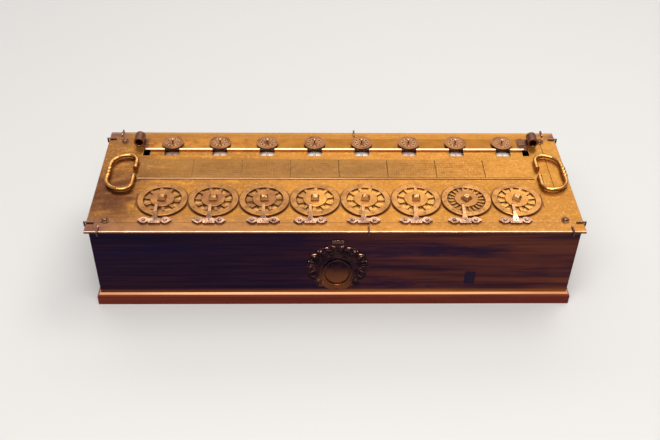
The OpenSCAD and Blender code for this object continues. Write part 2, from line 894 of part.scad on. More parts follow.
module corner_screws() {
    color("darkgoldenrod")
        at_knobs() {
            translate([0, 0, plate_under - 1])
                cylinder(d = knob_shank_d, h = plate_t + 1.5);
            translate([0, 0, plate_under - 1.5])
                cylinder(d = knob_d - 1, h = 1.4);
            translate([0, 0, case_h])
                rotate_extrude()
                    polygon([[0, 0], [knob_d / 2 + 0.8, 0], [knob_d / 2 + 0.8, 0.4],
                             [knob_d / 2 - 0.3, 0.6], [knob_d / 2 - 0.3, knob_h - 0.5],
                             [knob_d / 2 - 0.8, knob_h], [0, knob_h]]);
        }
}

// Plate of the catch, and under it the cartouche: a plain boss in a wreath of scallops
catch_w = 8.2;
catch_h = 2.6;
catch_t = 1;
catch_drop = 11.1;
catch_z = plate_under - catch_drop;
cartouche_x = 1.2;
cartouche_over_base = 2.3;
cartouche_under_catch = 1.4;
cartouche_w = 48.8;
cartouche_h = catch_z - cartouche_under_catch - base_t - cartouche_over_base;
cartouche_z = base_t + cartouche_over_base + cartouche_h / 2;
cartouche_t = 1.2;
boss_d = 25;
boss_h = 1;
boss_bevel = 2.5;
lobes = 14;
lobe_d = 8.6;

module front_cartouche() {
    color("sienna")
        translate([cartouche_x, board_inset - rear_y, cartouche_z])
            rotate([90, 0, 0]) {
                linear_extrude(cartouche_t) {
                    circle(d = cartouche_h - lobe_d);
                    for (k = [0:lobes - 1])
                        translate([(cartouche_w - lobe_d) / 2 * sin(k * 360 / lobes),
                                   (cartouche_h - lobe_d) / 2 * cos(k * 360 / lobes)])
                            circle(d = lobe_d);
                }
                translate([0, 0, cartouche_t])
                    cylinder(d1 = boss_d, d2 = boss_d - 2 * boss_bevel, h = boss_h);
            }
}

module catch_plate() {
    color("rosybrown")
        translate([cartouche_x + 0.2 - catch_w / 2, board_inset - rear_y - catch_t, catch_z])
            cube([catch_w, catch_t, catch_h]);
}

base_board();
long_board(-board_y);  // front_board
long_board(inner_y);  // back_board
end_board(-board_x);  // left_board
end_board(inner_x);  // right_board
top_plate();
dial_rings();
stylus_stops();
stop_screws();
engraved_strip();
front_bearing_plate();
rear_bearing_plate();
drum_bearing_plate();
handle_eyes();
edge_hooks();
corner_screws();
front_cartouche();
catch_plate();
sliding_bar();
handle(-1);  // left_handle
handle(1);  // right_handle
for (i = [1:dials]) {
    dial_wheel(i);
    cross_shaft(i);
    number_drum(i);
    memory_disc(i);
}
for (i = [1:dials - 1])
    carry_lever(i);
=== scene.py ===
import json
import math

import bpy
from mathutils import Matrix, Vector


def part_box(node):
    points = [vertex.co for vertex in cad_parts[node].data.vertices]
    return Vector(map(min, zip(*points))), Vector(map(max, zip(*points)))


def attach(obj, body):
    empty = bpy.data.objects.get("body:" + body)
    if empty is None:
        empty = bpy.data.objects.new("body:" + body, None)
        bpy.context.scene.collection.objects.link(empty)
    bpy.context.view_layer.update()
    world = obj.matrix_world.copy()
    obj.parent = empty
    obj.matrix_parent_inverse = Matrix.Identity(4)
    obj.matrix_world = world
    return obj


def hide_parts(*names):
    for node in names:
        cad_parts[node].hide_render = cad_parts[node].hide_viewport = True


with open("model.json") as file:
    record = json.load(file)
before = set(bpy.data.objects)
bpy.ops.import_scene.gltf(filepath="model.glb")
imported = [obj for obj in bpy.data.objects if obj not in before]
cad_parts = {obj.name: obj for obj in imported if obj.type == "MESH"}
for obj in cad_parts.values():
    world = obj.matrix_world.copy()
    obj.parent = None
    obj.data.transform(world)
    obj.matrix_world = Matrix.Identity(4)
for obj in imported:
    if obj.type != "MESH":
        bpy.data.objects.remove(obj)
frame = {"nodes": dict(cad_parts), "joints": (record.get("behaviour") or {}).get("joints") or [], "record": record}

MM = 0.001
scene = bpy.context.scene
nodes = frame["nodes"]
joints = {j["name"]: j for j in frame["joints"]}
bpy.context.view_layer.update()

# Places that the frame gives, in metres
plate_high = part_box("top_plate")[1]
ring_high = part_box("dial_rings")[1]
bar_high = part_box("sliding_bar")[1]
relief_low, relief_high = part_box("front_cartouche")
DIALS = range(1, 9)
dial_at = {i: Vector(joints[f"dial_turn_{i}"]["pos_m"]) for i in DIALS}
drum_at = {i: Vector(joints[f"drum_turn_{i}"]["pos_m"]) for i in DIALS}

# Parts of a full turn: ten for dials 1 to 6, and other counts for the last two
TEN = 10
COUNTS = {7: 20, 8: 12}


def count(i):
    """Parts of a full turn of dial i."""
    return COUNTS.get(i, TEN)


# Camera at the photograph's viewing angle: place in metres, angles in radians
CAMERA_AT = Vector((-0.0205, -0.5394, 0.4975))
PITCH, YAW, ROLL = 0.71138, 0.03225, 0.0212
SENSOR_MM, LENS_MM = 36.0, 48.82


def add_camera():
    """A camera that looks forward and down by PITCH, turned by YAW and ROLL."""
    forward = Vector((math.sin(YAW) * math.cos(PITCH), math.cos(YAW) * math.cos(PITCH), -math.sin(PITCH)))
    level = Vector((math.cos(YAW), -math.sin(YAW), 0))
    above = level.cross(forward)
    right = level * math.cos(ROLL) + above * math.sin(ROLL)
    up = above * math.cos(ROLL) - level * math.sin(ROLL)
    camera = bpy.data.cameras.new("camera")
    camera.sensor_width = SENSOR_MM
    camera.lens = LENS_MM
    holder = bpy.data.objects.new("camera", camera)
    turn = Matrix((right, up, -forward)).transposed().to_4x4()
    holder.matrix_world = Matrix.Translation(CAMERA_AT) @ turn
    scene.collection.objects.link(holder)
    scene.camera = holder


class Shader:
    """Short names for the nodes of one material. Coordinates are the row frame's, in millimetres."""

    def __init__(self, name, base, metallic, roughness):
        self.material = bpy.data.materials.new(name)
        self.material.use_nodes = True
        self.tree = self.material.node_tree
        self.bsdf = self.tree.nodes["Principled BSDF"]
        self.bsdf.inputs["Base Color"].default_value = (*base, 1)
        self.bsdf.inputs["Metallic"].default_value = metallic
        self.bsdf.inputs["Roughness"].default_value = roughness

    def add(self, kind, **values):
        node = self.tree.nodes.new(kind)
        for key, value in values.items():
            setattr(node, key, value)
        return node

    def link(self, a, b):
        self.tree.links.new(a, b)

    def feed(self, value, socket):
        """Links a socket, or sets a number."""
        if isinstance(value, bpy.types.NodeSocket):
            self.link(value, socket)
        else:
            socket.default_value = value

    def at(self, scale=(1, 1, 1)):
        """Place in the row frame in millimetres, times a scale for each axis."""
        coords = self.add("ShaderNodeTexCoord")
        mapping = self.add("ShaderNodeMapping")
        mapping.inputs["Scale"].default_value = [s / MM for s in scale]
        self.link(coords.outputs["Object"], mapping.inputs["Vector"])
        return mapping.outputs["Vector"]

    def noise(self, scale, detail=3.0, roughness=0.55, distortion=0.0):
        """Noise whose scale gives waves per millimetre along X, Y and Z."""
        node = self.add("ShaderNodeTexNoise")
        self.link(self.at(scale), node.inputs["Vector"])
        node.inputs["Scale"].default_value = 1.0
        node.inputs["Detail"].default_value = detail
        node.inputs["Roughness"].default_value = roughness
        node.inputs["Distortion"].default_value = distortion
        return node.outputs["Fac"]

    def even_noise(self, scale, **look):
        """Noise with one scale along all axes."""
        return self.noise((scale, scale, scale), **look)

    def math(self, operation, a, b=0.0, c=0.0):
        node = self.add("ShaderNodeMath", operation=operation)
        for value, socket in zip((a, b, c), node.inputs):
            self.feed(value, socket)
        return node.outputs[0]

    def times(self, *values):
        """Product of masks and numbers."""
        product = values[0]
        for value in values[1:]:
            product = self.math("MULTIPLY", product, value)
        return product

    def size(self, value):
        return self.math("ABSOLUTE", value)

    def away(self, value, place):
        """Distance of a value from a place."""
        return self.size(self.math("SUBTRACT", value, place))

    def outside(self, mask):
        """1 where the mask is 0, and 0 where it is 1."""
        return self.math("SUBTRACT", 1.0, mask)

    def radius(self, u, v):
        """Length of the vector (u, v)."""
        return self.math("SQRT", self.math("ADD", self.times(u, u), self.times(v, v)))

    def span(self, value, low, high, to_low=0.0, to_high=1.0):
        """Smooth step from to_low at low to to_high at high."""
        node = self.add("ShaderNodeMapRange", interpolation_type="SMOOTHSTEP")
        self.feed(value, node.inputs["Value"])
        for key, number in (("From Min", low), ("From Max", high), ("To Min", to_low), ("To Max", to_high)):
            node.inputs[key].default_value = number
        return node.outputs["Result"]

    def mix(self, factor, a, b):
        """Colour a where the factor is 0, and b where it is 1."""
        node = self.add("ShaderNodeMix", data_type="RGBA", blend_type="MIX")
        self.feed(factor, node.inputs["Factor"])
        for value, socket in ((a, node.inputs["A"]), (b, node.inputs["B"])):
            if isinstance(value, bpy.types.NodeSocket):
                self.link(value, socket)
            else:
                socket.default_value = (*value, 1)
        return node.outputs["Result"]

    def tint(self, tone, colour, *masks):
        """The tone, with the colour laid over it by the product of the masks."""
        return self.mix(self.times(*masks), tone, colour)

    def axis(self, index):
        """Place along one axis in millimetres."""
        split = self.add("ShaderNodeSeparateXYZ")
        self.link(self.at(), split.inputs[0])
        return split.outputs[index]

    def normal_axis(self, index):
        split = self.add("ShaderNodeSeparateXYZ")
        self.link(self.add("ShaderNodeNewGeometry").outputs["Normal"], split.inputs[0])
        return split.outputs[index]

    def facing(self, index):
        """How far a face looks along an axis, either way: 1 straight along it, 0 across it."""
        return self.size(self.normal_axis(index))

    def rounded(self, radius_mm):
        """Normal of a surface whose edges are rounded by that radius."""
        node = self.add("ShaderNodeBevel", samples=4)
        node.inputs["Radius"].default_value = radius_mm * MM
        return node.outputs["Normal"]

    def edge(self, radius_mm):
        """1 on an edge and 0 away from it, from a rounded normal."""
        dot = self.add("ShaderNodeVectorMath", operation="DOT_PRODUCT")
        self.link(self.rounded(radius_mm), dot.inputs[0])
        self.link(self.add("ShaderNodeNewGeometry").outputs["Normal"], dot.inputs[1])
        return self.span(dot.outputs["Value"], 0.995, 0.86)

    def bump(self, *layers, rounded_mm=0.0):
        """Layers are pairs of height and depth in millimetres, laid over each other."""
        normal = self.rounded(rounded_mm) if rounded_mm else None
        for height, depth in layers:
            node = self.add("ShaderNodeBump")
            node.inputs["Distance"].default_value = depth * MM
            node.inputs["Strength"].default_value = 1.0
            self.link(height, node.inputs["Height"])
            if normal is not None:
                self.link(normal, node.inputs["Normal"])
            normal = node.outputs["Normal"]
        self.link(normal, self.bsdf.inputs["Normal"])

    def colour(self, value):
        self.link(value, self.bsdf.inputs["Base Color"])

    def rough(self, value):
        self.link(value, self.bsdf.inputs["Roughness"])

    def shine(self, level):
        """Specular level of a stained or painted surface."""
        self.bsdf.inputs["Specular IOR Level"].default_value = level


def line(s, across, place, width):
    """1 on a line of that width in millimetres and 0 beside it."""
    return s.span(s.away(across, place), width * 0.75, width * 0.25)


def between(s, value, ends, soft=0.4):
    """1 between two places and 0 outside them."""
    low, high = ends
    return s.times(s.span(value, low - soft, low + soft), s.span(value, high + soft, high - soft))


def from_column(s, x):
    """Distance along X from the middle of the nearest column of dial, window and disc."""
    first, pitch = dial_at[1].x / MM, (dial_at[2].x - dial_at[1].x) / MM
    keep_above_zero = 20 * pitch
    shifted = s.math("ADD", x, keep_above_zero - first + pitch / 2)
    return s.math("SUBTRACT", s.math("MODULO", shifted, pitch), pitch / 2)


def from_centre(s, x, y, centre_y):
    """Distance from the nearest column's centre at that Y."""
    return s.radius(from_column(s, x), s.math("SUBTRACT", y, centre_y))


# Colours of the object, linear
GOLD = (0.59, 0.255, 0.046)
BRIGHT_GOLD = (0.54, 0.240, 0.041)
HIGHLIGHT_GOLD = (0.74, 0.33, 0.050)
SHADED_GOLD = (0.44, 0.190, 0.034)
OLIVE = (0.47, 0.200, 0.036)
BROWN = (0.29, 0.118, 0.030)
CLOUD_BROWN = (0.27, 0.120, 0.034)
PURPLE_BROWN = (0.110, 0.036, 0.018)
PINKISH = (0.40, 0.190, 0.088)
PALE = (0.92, 0.52, 0.15)
LIP_HIGHLIGHT_CREAM = (1.0, 0.80, 0.50)
DARK = (0.045, 0.016, 0.009)
RING_CONTACT_SHADE = (0.150, 0.052, 0.018)
CORNER_GRIME = (0.22, 0.100, 0.072)
STRIP_BROWN = (0.32, 0.155, 0.045)
HATCH_BROWN = (0.150, 0.072, 0.035)
GROOVE_BROWN = (0.060, 0.024, 0.012)
HOLE_WALL_SHADE = (0.030, 0.012, 0.008)
UNDER_EDGE_SHADE = (0.060, 0.024, 0.016)
LIT_LINE = (1.0, 0.62, 0.36)
FRONT_EDGE_HIGHLIGHT = (1.0, 0.68, 0.48)

# Top plate and its marks, in millimetres of the row frame
HALF_L, HALF_W, TOP_Z = 180.0, 61.0, 74.0
STRIP_FLOOR_Z, STRIP_FACE_Z = TOP_Z + 0.2, TOP_Z + 0.45
STRIP_EDGE_Y = -0.1
HATCH_X, HATCH_Y = (-118.0, 148.0), (3.5, 20.5)
SCRIBED_Y = -51.3
REAR_LINE_Y = 58.9
MARGIN_X, MARGIN_Y = 166.9, (-12.25, 48.25)
CONTACT_SHADE_R, HALF_ROW = (18.9, 20.6), 151.5


def sheet_gold(s, x, y, uneven, blotch, streak):
    """Brass that turns brown to gold along the row, with clouds, painted highlight patches, painted front-right
    shade and a fine mottle.
    """
    tone = s.mix(s.span(uneven, -168.0, -112.0), BROWN, OLIVE)
    tone = s.tint(tone, GOLD, s.span(uneven, -90.0, 10.0))
    tone = s.tint(tone, BRIGHT_GOLD, s.span(uneven, 50.0, 165.0))
    # Painted shade over the front of the right half
    tone = s.tint(tone, SHADED_GOLD, s.span(y, 6.0, -14.0), s.span(x, 30.0, 110.0), 0.85)
    tone = s.tint(tone, OLIVE, s.span(blotch, 0.46, 0.66, 0.0, 0.38))
    tone = s.tint(tone, CLOUD_BROWN, s.span(blotch, 0.54, 0.40), s.span(x, 60.0, -90.0), 0.50)
    # Painted highlight in large patches, strongest at the left and front
    highlight_patches = s.span(s.noise((0.05, 0.12, 0.12), detail=4, roughness=0.6), 0.52, 0.64)
    highlight_patches = s.times(highlight_patches, s.span(y, 60.0, 20.0, 0.6, 1.0))
    tone = s.tint(tone, HIGHLIGHT_GOLD, highlight_patches, s.span(x, 60.0, -100.0, 0.10, 0.45))
    mottle = s.even_noise(0.42, detail=3, roughness=0.7)
    tone = s.tint(tone, BROWN, s.span(mottle, 0.52, 0.68, 0.0, 0.34))
    tone = s.tint(tone, PALE, s.span(mottle, 0.47, 0.34, 0.0, 0.30))
    return s.tint(tone, PALE, s.span(streak, 0.52, 0.70, 0.0, 0.10))


def sheet_dirt(s, tone, x, y, z, uneven, blotch):
    """Pinkish front margin, a dark patch at the left, painted contact shade round the rings, grime in the corners,
    and specks.
    """
    tone = s.tint(tone, PINKISH, s.span(y, -38.0, -58.0), s.span(x, 60.0, -150.0, 0.15, 0.75))
    tone = s.tint(tone, OLIVE, s.span(y, 50.5, 54.0), 0.35)
    left = s.times(s.span(uneven, -140.0, -170.0), s.span(y, 22.0, -12.0))
    left = s.times(left, s.span(y, -52.0, -30.0, 0.3, 1.0))
    tone = s.tint(tone, PURPLE_BROWN, left, s.span(blotch, 0.30, 0.65, 0.70, 0.90))
    # Painted contact shade on the plate round each fixed ring
    tone = s.tint(tone, RING_CONTACT_SHADE, dial_grime(s, x, y), s.outside(s.span(z, TOP_Z + 0.1, TOP_Z + 0.2)))
    corner = s.times(s.span(s.size(x), 158.0, 174.0), s.span(s.size(y), 44.0, 56.0))
    not_front_right = s.math("MAXIMUM", s.span(x, 0.0, -60.0), s.span(y, 0.0, 30.0))
    tone = s.tint(tone, CORNER_GRIME, corner, not_front_right, s.span(blotch, 0.35, 0.60, 0.3, 0.9))
    return s.tint(tone, DARK, s.span(s.even_noise(0.75, detail=2), 0.66, 0.78, 0.0, 0.55))


def dial_grime(s, x, y):
    """Painted shade in the corner round each fixed ring."""
    far = from_centre(s, x, y, dial_at[1].y / MM)
    middle = (dial_at[1].x + dial_at[8].x) / 2 / MM
    in_row = s.span(s.away(x, middle), HALF_ROW + 0.5, HALF_ROW - 0.5)
    return s.times(s.span(far, CONTACT_SHADE_R[1], CONTACT_SHADE_R[0]), in_row, 0.85)


def hatching(s, x, y, strip):
    """Engine-turned pattern of crossing waves in the middle of the strip, worn away in patches."""
    drift = s.span(s.noise((0.045, 0.11, 0.11), detail=2), 0.3, 0.7, -3.2, 3.2)
    phase = s.math("ADD", s.times(x, 1.65), drift)
    first = s.math("SINE", s.math("ADD", phase, s.times(y, 1.15)))
    second = s.math("SINE", s.math("SUBTRACT", phase, s.times(y, 1.55)))
    loose = s.span(s.even_noise(0.25, detail=2), 0.3, 0.7, -0.45, 0.45)
    cut = s.span(s.math("ADD", s.times(first, second), loose), -0.25, 0.55)
    worn = s.span(s.noise((0.10, 0.16, 0.16), detail=4, roughness=0.6), 0.34, 0.56, 0.35, 1.0)
    across = s.times(s.span(y, HATCH_Y[0], HATCH_Y[0] + 1.5), s.span(y, HATCH_Y[1], HATCH_Y[1] - 1.5))
    along = s.times(s.span(x, HATCH_X[0], HATCH_X[0] + 20.0), s.span(x, HATCH_X[1], HATCH_X[1] - 60.0))
    return s.times(cut, worn, across, along, strip)


def strip_marks(s, tone, x, z, strip, hatch):
    """The strip's brown middle, its cut pattern and the dark grooves between its sections."""
    middle = s.times(s.span(x, 125.0, 20.0), s.span(x, -150.0, -100.0, 0.4, 1.0))
    tone = s.tint(tone, STRIP_BROWN, strip, middle, 0.75)
    tone = s.tint(tone, HATCH_BROWN, hatch, 0.50)
    groove = s.span(z, STRIP_FACE_Z, STRIP_FACE_Z - 0.08)
    return s.tint(tone, GROOVE_BROWN, strip, groove, s.span(x, -60.0, 30.0, 0.0, 0.9))


def scribed_lines(s, x, y):
    """A margin line at the right and a weaker one along the front."""
    margin = s.times(line(s, x, MARGIN_X, 0.45), between(s, y, MARGIN_Y, 0.25))
    return s.math("MAXIMUM", margin, s.times(line(s, y, SCRIBED_Y, 0.40), 0.7))


def sheet_edges(s, tone, x, y, z, flat, blotch):
    """Painted shade on the walls in the holes, worn rims, and a front edge with a painted highlight on top and
    painted shade below.
    """
    in_length = s.span(s.size(x), HALF_L - 0.5, HALF_L - 1.0)
    in_width = s.span(s.size(y), HALF_W - 0.4, HALF_W - 0.8)
    # Painted shade on the walls of the holes through the plate
    tone = s.tint(tone, HOLE_WALL_SHADE, s.span(s.facing(2), 0.35, 0.15), in_length, in_width, 0.92)
    tone = s.tint(tone, PALE, s.edge(0.6), flat, 0.45)
    front_face = s.span(y, 0.6 - HALF_W, 0.3 - HALF_W)
    # Painted shade on the lower part of the front face
    tone = s.tint(tone, UNDER_EDGE_SHADE, front_face, s.span(z, TOP_Z - 0.4, TOP_Z - 0.6, 0.0, 0.9))
    # Painted highlight along the top of the front face
    worn = s.times(front_face, s.span(z, TOP_Z - 0.55, TOP_Z - 0.35))
    return s.tint(tone, FRONT_EDGE_HIGHLIGHT, worn, s.span(blotch, 0.3, 0.6, 0.95, 0.6))


def plate_brass():
    """Old brass sheet: brown at the left, golden at the right, with scribed lines and an engraved strip."""
    s = Shader("plate_brass", GOLD, 1.0, 0.40)
    streak = s.noise((0.012, 0.45, 0.45), detail=4, roughness=0.6)
    patch = s.noise((0.018, 0.028, 0.028), detail=3, roughness=0.55, distortion=0.5)
    blotch = s.noise((0.09, 0.14, 0.14), detail=5, roughness=0.62)
    fine = s.noise((0.8, 2.0, 2.0), detail=3)
    x, y, z = s.axis(0), s.axis(1), s.axis(2)
    uneven = s.math("ADD", x, s.span(patch, 0.30, 0.70, -26.0, 26.0))
    strip = s.span(z, STRIP_FLOOR_Z - 0.1, STRIP_FLOOR_Z)
    flat = s.outside(strip)
    hatch = hatching(s, x, y, strip)
    scribed = s.times(flat, scribed_lines(s, x, y))
    tone = sheet_gold(s, x, y, uneven, blotch, streak)
    tone = sheet_dirt(s, tone, x, y, z, uneven, blotch)
    tone = strip_marks(s, tone, x, z, strip, hatch)
    tone = s.tint(tone, DARK, scribed, 0.8)
    lit_edge = s.times(strip, line(s, y, STRIP_EDGE_Y, 0.7))
    tone = s.tint(tone, LIT_LINE, lit_edge, s.span(x, 60.0, -20.0, 0.25, 0.95))
    tone = s.tint(tone, PALE, line(s, y, REAR_LINE_Y, 0.5), 0.5)
    s.colour(sheet_edges(s, tone, x, y, z, flat, blotch))
    s.rough(s.math("ADD", s.span(blotch, 0.35, 0.7, 0.36, 0.50), s.span(fine, 0.4, 0.7, -0.03, 0.06)))
    cuts = s.outside(s.math("MAXIMUM", s.times(hatch, 0.4), scribed))
    s.bump((patch, 0.20), (streak, 0.02), (fine, 0.02), (cuts, 0.07), rounded_mm=0.25)
    return s.material


# How bright the painted shade on upright walls is, as a share of the shade colour
WALL_SHADE = 0.22


def worked_brass(name, base, shade, light, rough, grain=1.0, edge_mm=0.35, shaded=(0.45, 0.68), walls=0.0,
                 worn=0.5, extra=None):
    """Turned or filed brass: worn bright on the edges, with painted shade on its upright walls."""
    s = Shader(name, base, 1.0, rough)
    cloud = s.even_noise(0.12, detail=4, roughness=0.6)
    fine = s.even_noise(1.3 * grain, detail=3)
    tone = s.mix(s.span(cloud, *shaded, 0.0, 0.85), base, shade)
    tone = s.tint(tone, shade, s.span(fine, 0.62, 0.80, 0.0, 0.45))
    if extra:
        tone = extra(s, tone)
    # Painted shade on upright walls
    if walls:
        upright = s.span(s.facing(2), 0.55, 0.20)
        tone = s.tint(tone, tuple(c * WALL_SHADE for c in shade), upright, walls)
    tone = s.tint(tone, light, s.span(s.edge(edge_mm), 0.15, 0.9, 0.0, worn))
    s.colour(tone)
    s.rough(s.span(cloud, 0.3, 0.7, rough - 0.06, rough + 0.12))
    s.bump((cloud, 0.12), (fine, 0.03), rounded_mm=edge_mm * 0.6)
    return s.material


RING_BROWN = (0.32, 0.140, 0.050)


def row_gold(s, tone):
    """Rings are browner at the left end of the row and more golden at the right."""
    return s.tint(tone, RING_BROWN, s.span(s.axis(0), 60.0, -110.0, 0.0, 0.5))


# Stops: how far their fingers reach, and the bright plate on the last one, in millimetres
FINGER_Y = (-47.6, -20.0)
STOP_PLATE_X, STOP_PLATE_Y = (128.3, 132.7), (-51.4, -46.4)
STOP_GLINT = (1.0, 0.74, 0.58)
STOP_CUT = (0.09, 0.034, 0.028)
FINGER_BROWN = (0.52, 0.27, 0.115)
STOP_PLATE_PINK = (0.95, 0.66, 0.50)
HOOK_BROWN = (0.150, 0.068, 0.045)


def stop_marks(s, tone):
    """Stops with a chasing pattern on their wings that carries painted glints, browner fingers, one with a bright
    square plate, and dark edge hooks.
    """
    x, y = s.axis(0), s.axis(1)
    chasing_and_glints = s.even_noise(1.1, detail=1, distortion=1.5)
    # Painted glints on the wings; the dark cuts below follow the same chasing
    tone = s.tint(tone, STOP_GLINT, s.span(chasing_and_glints, 0.58, 0.68, 0.0, 0.6))
    tone = s.tint(tone, STOP_CUT, s.span(s.away(chasing_and_glints, 0.5), 0.045, 0.015, 0.0, 0.85))
    finger = s.times(s.span(y, FINGER_Y[0], FINGER_Y[0] + 1.0), s.span(y, FINGER_Y[1], FINGER_Y[1] - 4.0))
    tone = s.tint(tone, FINGER_BROWN, finger, 0.80)
    front_or_rear = s.span(s.size(y), HALF_W - 4.0, HALF_W - 3.2)
    at_ends = s.span(s.size(x), HALF_L - 8.0, HALF_L - 7.0)
    tone = s.tint(tone, HOOK_BROWN, s.math("MAXIMUM", front_or_rear, at_ends), 0.85)
    plate = s.times(between(s, x, STOP_PLATE_X, 0.2), between(s, y, STOP_PLATE_Y, 0.2))
    return s.tint(tone, STOP_PLATE_PINK, plate, 0.9)


# Bar: where its lugs and tubes begin, the lip's width and reach, and half the width of the painted shadow on the
# lip over each window
BAR_END_X = 146.0
LIP_Y, LIP_END_X = (34.0, 37.6), 151.0
WINDOW_HALF = 5.9
BAR_LEFT_GOLD = (0.37, 0.150, 0.020)
BAR_END_BROWN = (0.150, 0.066, 0.050)
LIP_WINDOW_SHADOW = (0.020, 0.009, 0.008)


def bar_marks(s, tone):
    """Bar: a painted cream highlight along the top of the lip, with painted shadow over the windows, and dark
    tubes, lugs and corner screws.
    """
    x, y, z = s.axis(0), s.axis(1), s.axis(2)
    wide = s.size(x)
    tone = s.tint(tone, BAR_LEFT_GOLD, s.span(x, -100.0, 0.0, 0.0, 0.80))
    tone = s.tint(tone, BAR_END_BROWN, s.span(wide, BAR_END_X, BAR_END_X + 2.5), 0.88)
    # Painted cream highlight along the top of the lip
    lip = s.times(s.span(y, LIP_Y[1], LIP_Y[1] - 0.3), s.span(y, LIP_Y[0], LIP_Y[0] + 0.4))
    lip = s.times(lip, s.span(wide, LIP_END_X + 1.0, LIP_END_X))
    tone = s.tint(tone, LIP_HIGHLIGHT_CREAM, lip, s.span(z, TOP_Z + 0.9, TOP_Z + 1.3), 0.95)
    # Painted shadow on the lip over each window
    windows = s.span(s.size(from_column(s, x)), WINDOW_HALF + 0.3, WINDOW_HALF - 0.3)
    return s.tint(tone, LIP_WINDOW_SHADOW, lip, windows, 0.97)


# Memory discs: their centres from the bar's rear edge, their ring of holes, and the height of their balls
DISC_FROM_REAR = 7.55
HOLES_R = (3.5, 5.7)
BALL_Z = (78.4, 79.4)
DISC_SPECK = (0.78, 0.46, 0.26)
BALL_PINK = (0.80, 0.52, 0.36)


def disc_marks(s, tone):
    """Memory discs: bright specks in the ring of holes, and a bright pinkish ball on the pin."""
    far = from_centre(s, s.axis(0), s.axis(1), bar_high.y / MM - DISC_FROM_REAR)
    speck = s.span(s.even_noise(1.4, detail=1), 0.46, 0.56)
    tone = s.tint(tone, DISC_SPECK, between(s, far, HOLES_R, 0.3), speck, 0.75)
    return s.tint(tone, BALL_PINK, s.span(s.axis(2), *BALL_Z))


BOSS_BROWN = (0.210, 0.066, 0.022)
TIP_HIGHLIGHT_PINK = (0.82, 0.47, 0.31)


def relief_marks(s, tone):
    """Relief: warm brown on its boss, and a painted highlight on upward faces along the upper part of its outline.
    """
    x, z = s.axis(0), s.axis(2)
    tone = s.tint(tone, BOSS_BROWN, s.span(z, 40.0, 24.0), s.span(s.size(x), 15.0, 8.0), 0.80)
    middle, half = (relief_low + relief_high) / 2 / MM, (relief_high - relief_low) / 2 / MM
    u = s.math("DIVIDE", s.math("SUBTRACT", x, middle.x), half.x)
    v = s.math("DIVIDE", s.math("SUBTRACT", z, middle.z), half.z)
    # Painted highlight on upward faces near the upper outline
    lit_tips = s.times(s.span(s.normal_axis(2), 0.55, 0.90), s.span(s.radius(u, v), 0.86, 0.93))
    return s.tint(tone, TIP_HIGHLIGHT_PINK, lit_tips, s.span(v, 0.10, 0.45), 0.90)


# Dial wheels, in millimetres of the row frame
HUB_TOP_Z, NUT_TOP_Z = TOP_Z + 2.2, TOP_Z + 5.0
WHEEL_R = 13.85
WHEEL_GOLD = (0.80, 0.39, 0.095)
WHEEL_SHADE = (0.60, 0.28, 0.075)
WHEEL_DULL = (0.33, 0.140, 0.056)
FLOOR_GOLD = (0.80, 0.42, 0.120)
FLOOR_DULL = (0.30, 0.115, 0.045)
WHEEL_SPECK = (0.17, 0.070, 0.030)
WHEEL_WALL_SHADE = (0.050, 0.018, 0.010)
RIM_GAP_SHADE = (0.085, 0.030, 0.014)
HUB_GOLD = (0.46, 0.205, 0.062)
HUB_SPOT = (0.22, 0.092, 0.036)
NUT_BROWN = (0.40, 0.180, 0.066)
NUT_TOP_BROWN, NUT_TOP_HIGHLIGHT_GOLD = (0.42, 0.185, 0.050), (0.95, 0.60, 0.26)


def hub_marks(s, tone, x, z):
    """Spotted hubs, duller from dial 5 on, and brown square nuts whose tops are worn golden with painted highlight
    patches.
    """
    hub = s.span(z, HUB_TOP_Z - 0.3, HUB_TOP_Z - 0.1)
    tone = s.tint(tone, HUB_GOLD, hub, s.span(x, 0.0, 10.0), 0.50)
    tone = s.tint(tone, HUB_SPOT, s.span(s.even_noise(0.75, detail=2), 0.54, 0.66), hub, 0.45)
    tone = s.tint(tone, NUT_BROWN, s.span(z, HUB_TOP_Z + 0.4, HUB_TOP_Z + 0.8), 0.85)
    # Nut tops: worn gold with a painted highlight, laid in noise patches
    nut_top = s.mix(s.span(s.even_noise(0.35, detail=1), 0.45, 0.60), NUT_TOP_BROWN, NUT_TOP_HIGHLIGHT_GOLD)
    return s.tint(tone, nut_top, s.span(z, NUT_TOP_Z - 0.45, NUT_TOP_Z - 0.15), 0.90)


